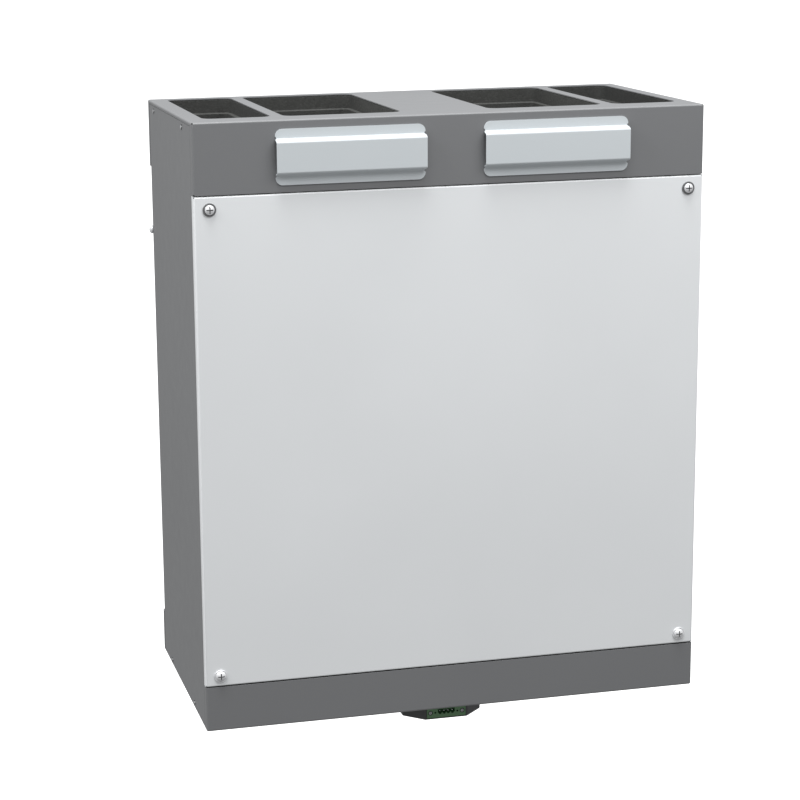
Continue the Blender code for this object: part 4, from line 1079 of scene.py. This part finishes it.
# %% Drain pipe
bore = 0.0075
spigot = (pipe_high.x - pipe_low.x) / 2
barb = 0.0065
profile = [(bore, pipe_low.z + 0.0008), (bore + 0.0008, pipe_low.z), (spigot - 0.0024, pipe_low.z)]
for i in range(3):
    foot = pipe_low.z + 0.0010 + i * barb
    profile += [(spigot - 0.0022, foot), (spigot, foot + barb * 0.80), (spigot - 0.0018, foot + barb * 0.88)]
profile += [(spigot - 0.0018, BASE - 0.0040), (spigot, BASE - 0.0036), (spigot, BASE + 0.008),
            (0.0100, BASE + 0.014), (0.0100, pipe_high.z), (bore, pipe_high.z)]
pipe = turned("drain_spigot", profile, (*DRAIN, 0.0), (0, 0, 1), black_plastic, closed=True)
place(soften(pipe, sharp=30), "casing", "black_plastic", "drain_pipe")
print("drain spigot diameter in mm:", round(spigot * 2000, 1))

# %% [markdown]
# ## Side panels, back and hook rail
#
# A side panel stands between the caps.  Its front flange is narrow, except at the
# cover screws, where it grows into tabs.  The back is one zinc-coated sheet with a
# pressed frame that keeps it from drumming, and near its top runs the folded rail
# that hooks over a bracket on the wall.

# %% Side panels
PANEL_SHEET = 0.0010
TAB = 0.028
FLANGE = 0.014
screw_x = abs(middle_of(cover_screws[0]).x)
screw_heights = sorted({round(middle_of(name).z, 5) for name in cover_screws})
for label, side in SIDES:
    low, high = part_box("side_panel_" + label)
    skin = HALF - PANEL_SHEET / 2
    y0, y1 = low.y + PANEL_SHEET / 2, high.y - PANEL_SHEET / 2
    path = [(HALF - TAB, y0), (skin, y0), (skin, y1), (HALF - FLANGE, y1)]
    outline = [(side * a, b) for a, b in folded_strip(path, PANEL_SHEET, 0.0015, 8)]
    panel = prism("side_sheet_" + label, outline, "Z", low.z, high.z, grey_coat, grey_fold)
    paint_folds(panel)
    # Each room: its depth from the outer face, its rear end, and its lower and upper ends
    rooms = [(0.0022, -0.005, foam_high.z, high.z + 0.01),
             (0.0022, -0.005, low.z - 0.01, cover_low.z),
             (FLANGE, FRONT + 0.02, screw_heights[0] + 0.026, screw_heights[-1] - 0.026)]
    tools = []
    for depth, rear, z0, z1 in rooms:
        x0, x1 = sorted((side * (HALF - 0.040), side * (HALF - depth)))
        tools.append(block("cutter", (x0, FRONT, z0), (x1, rear, z1)))
    for z in screw_heights:
        tools.append(rod((side * screw_x, FRONT, z), (side * screw_x, FRONT + 0.02, z), 0.0034))
    cut(panel, *tools)
    drill_sides(panel, side_screws, SIDE_HOLE)
    soften(panel)
    place(panel, "casing", "casing_grey", "side_panel_" + label)
    print("side panel", label, "faces:", len(panel.data.polygons))

# %% Back sheet
low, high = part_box("rear_panel")
back_sheet = block("back_sheet", low, high, zinc)
BEAD_WIDTH = 0.012
frame_low, frame_high = (low.x + 0.045, low.z + 0.050), (high.x - 0.045, high.z - 0.210)
outer = rounded_rectangle(frame_low, frame_high, 0.030, 10)
inner = rounded_rectangle((frame_low[0] + BEAD_WIDTH, frame_low[1] + BEAD_WIDTH),
                          (frame_high[0] - BEAD_WIDTH, frame_high[1] - BEAD_WIDTH), 0.018, 10)
bead = prism("cutter", outer, "Y", high.y - 0.0003, high.y + 0.0022, zinc)
cut(bead, prism("cutter", inner, "Y", high.y - 0.0010, high.y + 0.0100, zinc))
soften(bead, 0.0016, 4)
join(back_sheet, bead)
soften(back_sheet)
place(back_sheet, "casing", "galvanised_sheet", "rear_panel")
print("back sheet faces:", len(back_sheet.data.polygons))

# %% Hook rail
rail_low, rail_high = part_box("hanging_rail")
rail_z = middle_of("rail_screw_left").z
RAIL_HALF = 0.2855                      # half the length of the folded strip
END_BLOCK = 0.2800                      # where the solid end blocks start
front_y, rear_y = -0.0079, -0.0011
path = [(front_y, rail_z - 0.016), (front_y, rail_z + 0.015), (rear_y, rail_z + 0.015),
        (rear_y, rail_z + 0.003)]
rail = prism("hook_rail", folded_strip(path, 0.0015, 0.0014, 8), "X", -RAIL_HALF, RAIL_HALF, zinc)
join(rail, *[block("cutter", (min(side * END_BLOCK, side * rail_high.x), -0.0080, rail_z - 0.0044),
                   (max(side * END_BLOCK, side * rail_high.x), -0.0012, rail_z + 0.0044), zinc)
             for _, side in SIDES])
cut(rail, *[rod((side * 0.283, -0.0045, rail_z), (side * 0.300, -0.0045, rail_z), 0.0026)
            for _, side in SIDES])
soften(rail)
place(rail, "casing", "galvanised_sheet", "hanging_rail")
print("hook rail length in mm:", round((rail_high.x - rail_low.x) * 1000, 1))

# %% [markdown]
# ## Filters
#
# Behind each filter cover sits a foam plug, and behind that a card frame with
# pleated fleece.  The pleats multiply the area that the air passes, so the filter
# can be fine without being a strong brake.  One zigzag outline makes them all.

# %% Filters
PLEATS = 13
PLEAT_RISE = 0.0112                     # half the height of a pleat
CARD_WALL = 0.006
for label, side in SIDES:
    low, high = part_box("filter_frame_" + label)
    tray_body = block("filter_card_" + label, low, high, card)
    cut(tray_body, block("cutter", (low.x + CARD_WALL, low.y + 0.012, low.z - 0.01),
                         (high.x - CARD_WALL, high.y - CARD_WALL, high.z + 0.01)))
    soften(tray_body, 0.0006, 2)
    place(tray_body, "filter_" + label, "filter_card", "filter_frame_" + label)

    media_low, media_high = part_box("filter_media_" + label)
    middle = (media_low.z + media_high.z) / 2
    pitch = (media_high.y - media_low.y) / (2 * PLEATS)
    zigzag = [(media_low.y + i * pitch, middle + (PLEAT_RISE if i % 2 else -PLEAT_RISE))
              for i in range(2 * PLEATS + 1)]
    pleats = prism("filter_pleats_" + label, folded_strip(zigzag, 0.0014, 0.0012, 5), "X",
                   media_low.x, media_high.x, fleece)
    place(soften(pleats, sharp=60), "filter_" + label, "filter_fleece", "filter_media_" + label)

    low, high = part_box("filter_plug_" + label)
    plug = prism("filter_foam_plug_" + label, rounded_rectangle((low.x, low.z), (high.x, high.z),
                                                                0.004, 6), "Y", low.y, high.y, foam)
    place(soften(plug, 0.0010, 3), "grip_" + label, "black_foam", "filter_plug_" + label)
print("pleats in each filter:", PLEATS)
print("gain in filter area:", round(math.hypot(pitch, 2 * PLEAT_RISE) / pitch, 1))

# %% [markdown]
# ## Plate heat exchanger
#
# Two air streams pass through alternate gaps of a stack of thin plates.  The
# hexagon gives each stream a short way in, a long way side by side, and a short
# way out.  The stack is drawn plate by plate round a slightly smaller core, so
# its sides show the fine slots, and six corner strips hold the plates together.

# %% Exchanger shape
front_low, front_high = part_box("exchanger_front_plate")
core_low, core_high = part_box("exchanger_core")
hex_middle = (front_low.z + front_high.z) / 2
HEX_SHOULDER = 0.046
HEX_HALF = front_high.x
HEX_RISE = (front_high.z - front_low.z) / 2


def hexagon(inset=0.0):
    """Outline with its points at the top and foot; the inset keeps the sides parallel."""
    half, rise = HEX_HALF - inset, HEX_RISE - 1.26 * inset
    points = [(0.0, rise), (half, HEX_SHOULDER - 0.2 * inset), (half, -HEX_SHOULDER + 0.2 * inset),
              (0.0, -rise), (-half, -HEX_SHOULDER + 0.2 * inset), (-half, HEX_SHOULDER - 0.2 * inset)]
    return [(x, hex_middle + z) for x, z in points]


# %% Plate stack
PLATE_PITCH = 0.0032
plates = int((core_high.y - core_low.y) / PLATE_PITCH)
bm = bmesh.new()
add_prism(bm, hexagon(0.0045), "Y", core_low.y + 0.001, core_high.y - 0.001)
for i in range(plates):
    y = core_low.y + (i + 0.5) * (core_high.y - core_low.y) / plates
    add_prism(bm, hexagon(0.0018), "Y", y - 0.0004, y + 0.0004)
stack = make_piece("exchanger_plates", bm, plate_plastic)
place(soften(stack), "exchanger", "exchanger_plastic", "exchanger_core")
print("exchanger plates:", plates)

# %% Corner strips
corner_outline = hexagon(0.0035)
for i, (x, z) in enumerate(corner_outline):
    bm = bmesh.new()
    strip = rounded_rectangle((x - 0.0032, z - 0.0032), (x + 0.0032, z + 0.0032), 0.0014, 4)
    add_prism(bm, strip, "Y", core_low.y, core_high.y)
    piece = make_piece("exchanger_corner_%d" % (i + 1), bm, pale_plastic)
    place(soften(piece), "exchanger", "pale_plastic")

# %% Front plate and pull strap
bm = bmesh.new()
add_prism(bm, hexagon(), "Y", front_low.y, front_high.y)
bmesh.ops.bevel(bm, geom=list(bm.edges), offset=0.0007, segments=3, profile=0.5, affect="EDGES")
front_plate = make_piece("exchanger_cover_plate", bm, pale_plastic)
sunk = prism("cutter", hexagon(0.010), "Y", front_low.y - 0.01, front_low.y + 0.0009)
cut(front_plate, sunk)
soften(front_plate, 0.0002, 2)
place(front_plate, "exchanger", "pale_plastic", "exchanger_front_plate")

strap_low, strap_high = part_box("exchanger_strap")
flat, lift = strap_high.y - 0.00055, strap_low.y + 0.00055
z = (strap_low.z + strap_high.z) / 2
path = [(flat, z - 0.095), (flat, z - 0.070), (lift, z - 0.055), (lift, z + 0.055),
        (flat, z + 0.070), (flat, z + 0.095)]
strap = prism("pull_strap", folded_strip(path, 0.0011, 0.008, 10), "X", strap_low.x,
              strap_high.x, webbing)
place(soften(strap, 0.0003, 2), "exchanger", "strap_webbing", "exchanger_strap")
rivet = [(0.0, 0.0016), (0.0022, 0.0014), (0.0040, 0.0006), (0.0044, 0.0), (0.0, 0.0)]
for name, height in (("top", z + 0.083), ("foot", z - 0.083)):
    stud = turned("strap_rivet_" + name, rivet, (0.0, flat - 0.0005, height), (0, -1, 0),
                  steel_front, segments=32)
    place(soften(stud, sharp=30), "exchanger", "polished_steel")
print("strap length in mm:", round((strap_high.z - strap_low.z) * 1000))

# %% [markdown]
# ## Fans
#
# Each fan is a snail: air comes in through the round nozzle, the wheel throws it
# outwards, and the housing's growing spiral gathers it towards the mouth.  The
# wheel has backward-curved blades between a hub disc and a front ring, and its
# origin stays on its own axle.

# %% Fan housings
HOUSING_SKIN = 0.002
SCROLL_START, SCROLL_GROWTH = 0.069, 0.028
fan_middles = {label: middle_of("fan_wheel_" + label) for label, _ in SIDES}


def scroll(side, centre, wall, mouth):
    """Spiral of a housing; the mouth is turned up towards the riser."""
    points = []
    for i in range(61):
        swept = 300.0 * i / 60
        angle = math.radians(120.0 - swept)
        radius = SCROLL_START + SCROLL_GROWTH * swept / 300.0 + wall
        points.append((radius * math.cos(angle), radius * math.sin(angle)))
    ends = [(points[-1][0], mouth - centre.z), (points[0][0], mouth - centre.z)]
    return [(centre.x - side * x, centre.z + z) for x, z in points + ends]


for label, side in SIDES:
    low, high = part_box("fan_housing_" + label)
    centre = fan_middles[label]
    shell = prism("fan_snail_" + label, scroll(side, centre, HOUSING_SKIN, high.z), "Y", low.y,
                  high.y, black_plastic)
    hollow = prism("cutter", scroll(side, centre, 0.0, high.z + 0.01), "Y", low.y + HOUSING_SKIN,
                   high.y - HOUSING_SKIN)
    eye = rod((centre.x, low.y - 0.01, centre.z), (centre.x, low.y + 0.01, centre.z), 0.052, 64)
    cut(shell, hollow, eye)
    soften(shell, 0.0004, 2)
    place(shell, "casing", "black_plastic", "fan_housing_" + label)

    nozzle_low, nozzle_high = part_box("fan_nozzle_" + label)
    ring = [(0.0580, 0.0020), (0.0470, 0.0021)] + arc((0.0470, -0.0064), 0.0085, 90, 180, 8)
    ring += [(0.0374, -0.0265), (0.0394, -0.0265), (0.0402, -0.0060), (0.0450, -0.0002),
             (0.0580, -0.0002)]
    nozzle = turned("fan_inlet_" + label, ring, (centre.x, nozzle_low.y + 0.0020, centre.z),
                    (0, -1, 0), black_plastic, segments=64, closed=True)
    place(soften(nozzle, sharp=30), "casing", "black_plastic", "fan_nozzle_" + label)

    motor_low, motor_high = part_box("fan_motor_" + label)
    profile = [(0.0, 0.0), (0.0322, 0.0), (0.0330, 0.0008), (0.0330, 0.0042), (0.0322, 0.0050),
               (0.0268, 0.0068), (0.0260, 0.0078), (0.0260, 0.0124), (0.0252, 0.0130), (0.0, 0.0130)]
    motor = turned("fan_stator_" + label, profile, (centre.x, motor_high.y, centre.z), (0, -1, 0),
                   motor_metal, segments=64)
    place(soften(motor, sharp=30), "casing", "motor_metal", "fan_motor_" + label)

# %% Fan wheels
BLADES = 7
DISC = 0.0018


def blade_outline(side, index, radius):
    """A blade seen along the axle: it leans back against the turning direction."""
    start, end, steps = 0.0385, radius - 0.0012, 12
    turn = 2 * math.pi * index / BLADES
    middle = []
    for i in range(steps + 1):
        part = i / steps
        angle = turn - side * math.radians(40) * part ** 0.8
        reach = start + (end - start) * part
        middle.append(Vector((reach * math.cos(angle), reach * math.sin(angle))))
    near, far = [], []
    for i, point in enumerate(middle):
        along = (middle[min(i + 1, steps)] - middle[max(i - 1, 0)]).normalized()
        thick = 0.0009 if 0 < i < steps else 0.0005
        near.append(point + along.orthogonal() * thick)
        far.append(point - along.orthogonal() * thick)
    return [tuple(p) for p in near + far[::-1]]


for label, side in SIDES:
    low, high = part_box("fan_wheel_" + label)
    centre = fan_middles[label]
    radius = (high.x - low.x) / 2
    depth = high.y - low.y
    hub = [(0.0, 0.0), (radius, 0.0), (radius, DISC), (0.0310, DISC)]
    hub += arc((0.0310, DISC + 0.0040), 0.0040, 270, 180, 6)
    hub += arc((0.0230, 0.0260), 0.0040, 0, 90, 6) + [(0.0, 0.0300)]
    wheel = turned("fan_rotor_" + label, hub, (centre.x, high.y, centre.z), (0, -1, 0),
                   black_plastic, segments=64)
    bm = bmesh.new()
    bm.from_mesh(wheel.data)
    for index in range(BLADES):
        add_prism(bm, blade_outline(side, index, radius), "Y", -depth + DISC / 2, -DISC / 2)
    ring = [(0.0410, 0.0), (radius - 0.0004, 0.0), (radius - 0.0001, 0.0004),
            (radius - 0.0001, DISC), (0.0410, DISC)]
    hoop = turned("hoop", ring, (0.0, 0.0, 0.0), (0, -1, 0), segments=64, closed=True)
    hoop.data.transform(Matrix.Translation((0.0, -depth + DISC, 0.0)))
    bm.from_mesh(hoop.data)
    bpy.data.objects.remove(hoop)
    bmesh.ops.recalc_face_normals(bm, faces=bm.faces)
    bm.to_mesh(wheel.data)
    bm.free()
    place(soften(wheel, sharp=30), "wheel_" + label, "black_plastic", "fan_wheel_" + label)
    print("fan wheel", label, "diameter in mm:", round(radius * 2000))

# %% [markdown]
# ## Rails, tray and bypass
#
# The exchanger slides on two pale rails.  Below it lies the tray that catches
# condensate, with a floor that falls towards the drain.  The bypass is a flap
# over a window behind the exchanger, turned by a small gear motor.

# %% Condensate tray
low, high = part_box("condensate_tray")
bm = bmesh.new()
add_block(bm, low, high)
bmesh.ops.bevel(bm, geom=[e for e in bm.edges if not all(v.co.z > high.z - 1e-4 for v in e.verts)],
                offset=0.0030, segments=5, profile=0.5, affect="EDGES")
tray = make_piece("drip_tray", bm, pale_plastic)
wall = 0.0022
bm = bmesh.new()
verts = add_block(bm, (low.x + wall, low.y + wall, low.z + 0.012),
                  (high.x - wall, high.y - wall, high.z + 0.01))
bmesh.ops.translate(bm, vec=(0, 0, -0.009),
                    verts=[v for v in verts if v.co.z < high.z and v.co.y > (low.y + high.y) / 2])
cut(tray, make_piece("cutter", bm),
    rod((*DRAIN, low.z - 0.01), (*DRAIN, low.z + 0.015), 0.0075, 40))
soften(tray, 0.0004, 2)
place(tray, "casing", "pale_plastic", "condensate_tray")

# %% Bypass
flap_low, flap_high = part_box("bypass_flap")
frame_low, frame_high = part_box("bypass_frame")
motor_low, motor_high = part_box("bypass_motor")
WINDOW_INSET = 0.012
plate = block("bypass_plate", frame_low, frame_high, pale_plastic)
cut(plate, block("cutter", (frame_low.x + WINDOW_INSET, frame_low.y - 0.01, flap_low.z + 0.004),
                 (frame_high.x - WINDOW_INSET, frame_high.y + 0.01, frame_high.z - 0.016)))
soften(plate, 0.0004, 2)
place(plate, "casing", "pale_plastic", "bypass_frame")

hinge_y, hinge_z = (flap_low.y + flap_high.y) / 2, frame_high.z - 0.008
x0, x1 = frame_low.x + 0.008, frame_high.x - 0.008
leaf = block("bypass_leaf", (x0, hinge_y - 0.0010, flap_low.z), (x1, hinge_y + 0.0010, hinge_z),
             pale_plastic)
join(leaf, rod((x0, hinge_y, hinge_z), (x1, hinge_y, hinge_z), 0.0019, 32))
join(leaf, rod((flap_low.x, hinge_y, hinge_z), (flap_high.x, hinge_y, hinge_z), 0.0010, 24))
soften(leaf, 0.0002, 2)
place(leaf, "flap", "pale_plastic", "bypass_flap")

bm = bmesh.new()
add_block(bm, motor_low, motor_high)
bmesh.ops.bevel(bm, geom=list(bm.edges), offset=0.0015, segments=4, profile=0.5, affect="EDGES")
gearbox = make_piece("bypass_gearbox", bm, black_plastic)
cut(gearbox, rod((motor_low.x - 0.01, hinge_y, hinge_z), (motor_low.x + 0.0145, hinge_y, hinge_z),
                 0.0014))
place(soften(gearbox), "casing", "black_plastic", "bypass_motor")
print("bypass window in mm:", round((frame_high.x - frame_low.x - 2 * WINDOW_INSET) * 1000), "wide")

# %% [markdown]
# ## Control board
#
# The board carries a row of terminals, a transformer, relays, capacitors and a
# controller chip.  Each component is its own rounded piece, so the board reads as
# an assembly when the cover is off.

# %% Control board
board_low, board_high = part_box("control_board")
board_face = board_high.y - 0.0016
foot = board_low.z
board = block("board", (board_low.x, board_face, foot), (board_high.x, board_high.y, board_high.z),
              board_green)
holes = [rod((x, board_face - 0.01, z), (x, board_face + 0.01, z), 0.0016)
         for x in (board_low.x + 0.004, board_high.x - 0.004)
         for z in (foot + 0.0035, board_high.z - 0.004)]
cut(board, *holes)
place(soften(board, 0.0002, 2), "casing", "circuit_board", "control_board")
# Left end, height above the board's foot, width, height, thickness and finish
parts = {
    "terminals_left": (-0.058, 0.006, 0.034, 0.016, 0.012, green_plastic),
    "relay_left": (-0.014, 0.006, 0.018, 0.016, 0.016, black_plastic),
    "relay_right": (0.014, 0.006, 0.018, 0.016, 0.016, black_plastic),
    "transformer": (-0.056, 0.050, 0.028, 0.030, 0.020, motor_metal),
    "controller": (-0.012, 0.046, 0.016, 0.016, 0.003, black_plastic),
    "driver": (0.020, 0.040, 0.036, 0.028, 0.009, black_plastic),
    "terminals_top": (-0.014, 0.076, 0.064, 0.012, 0.010, green_plastic),
}
for name, (x, rise, width, tall, thick, material) in parts.items():
    bm = bmesh.new()
    add_block(bm, (x, board_face - thick, foot + rise), (x + width, board_face - 0.0001,
                                                         foot + rise + tall))
    bmesh.ops.bevel(bm, geom=list(bm.edges), offset=0.0007, segments=3, profile=0.5, affect="EDGES")
    piece = make_piece("board_" + name, bm, material)
    if "terminals" in name:
        count = int(width / PIN_PITCH)
        start = x + (width - (count - 1) * PIN_PITCH) / 2
        cut(piece, *[rod((start + i * PIN_PITCH, board_face - thick - 0.01, foot + rise + tall / 2),
                         (start + i * PIN_PITCH, board_face - thick + 0.004, foot + rise + tall / 2),
                         0.0017) for i in range(count)])
    place(soften(piece), "casing", "green_terminal" if "terminals" in name else "black_plastic")
can = [(0.0, 0.0192), (0.0052, 0.0192), (0.0060, 0.0184), (0.0060, 0.0030), (0.0056, 0.0024),
       (0.0060, 0.0018), (0.0060, 0.0), (0.0, 0.0)]
for i, x in enumerate((0.034, 0.050)):
    piece = turned("board_capacitor_%d" % (i + 1), can, (x, board_face, foot + 0.017), (0, -1, 0),
                   black_plastic, segments=32)
    place(soften(piece, sharp=30), "casing", "black_plastic")
print("components on the board:", len(parts) + 2)

# %% [markdown]
# ## Finishes for the plain pieces
#
# The foam body, the cover's insulation, the rails, the sensors and the leads keep
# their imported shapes.  Each of them only gets its finish here, and the foam gets
# a small round on its edges.

# %% Finishes
plain = {
    "foam_body": foam,
    "cover_insulation": foam,
    "exchanger_rail_left": pale_plastic,
    "exchanger_rail_right": pale_plastic,
    "extract_sensor": black_plastic,
    "outdoor_sensor": black_plastic,
    "supply_lead": cable_sheath,
    "fan_lead_left": cable_sheath,
    "fan_lead_right": cable_sheath,
}
for name, material in plain.items():
    node = bpy.data.objects[name]
    node.data.materials.clear()
    node.data.materials.append(material)
    if material is foam:
        edges = node.modifiers.new("edges", "BEVEL")
        edges.width = 0.0010
        edges.segments = 2
        edges.limit_method = "ANGLE"
        edges.angle_limit = math.radians(40)
print("pieces that keep their packed shape:", len(plain))
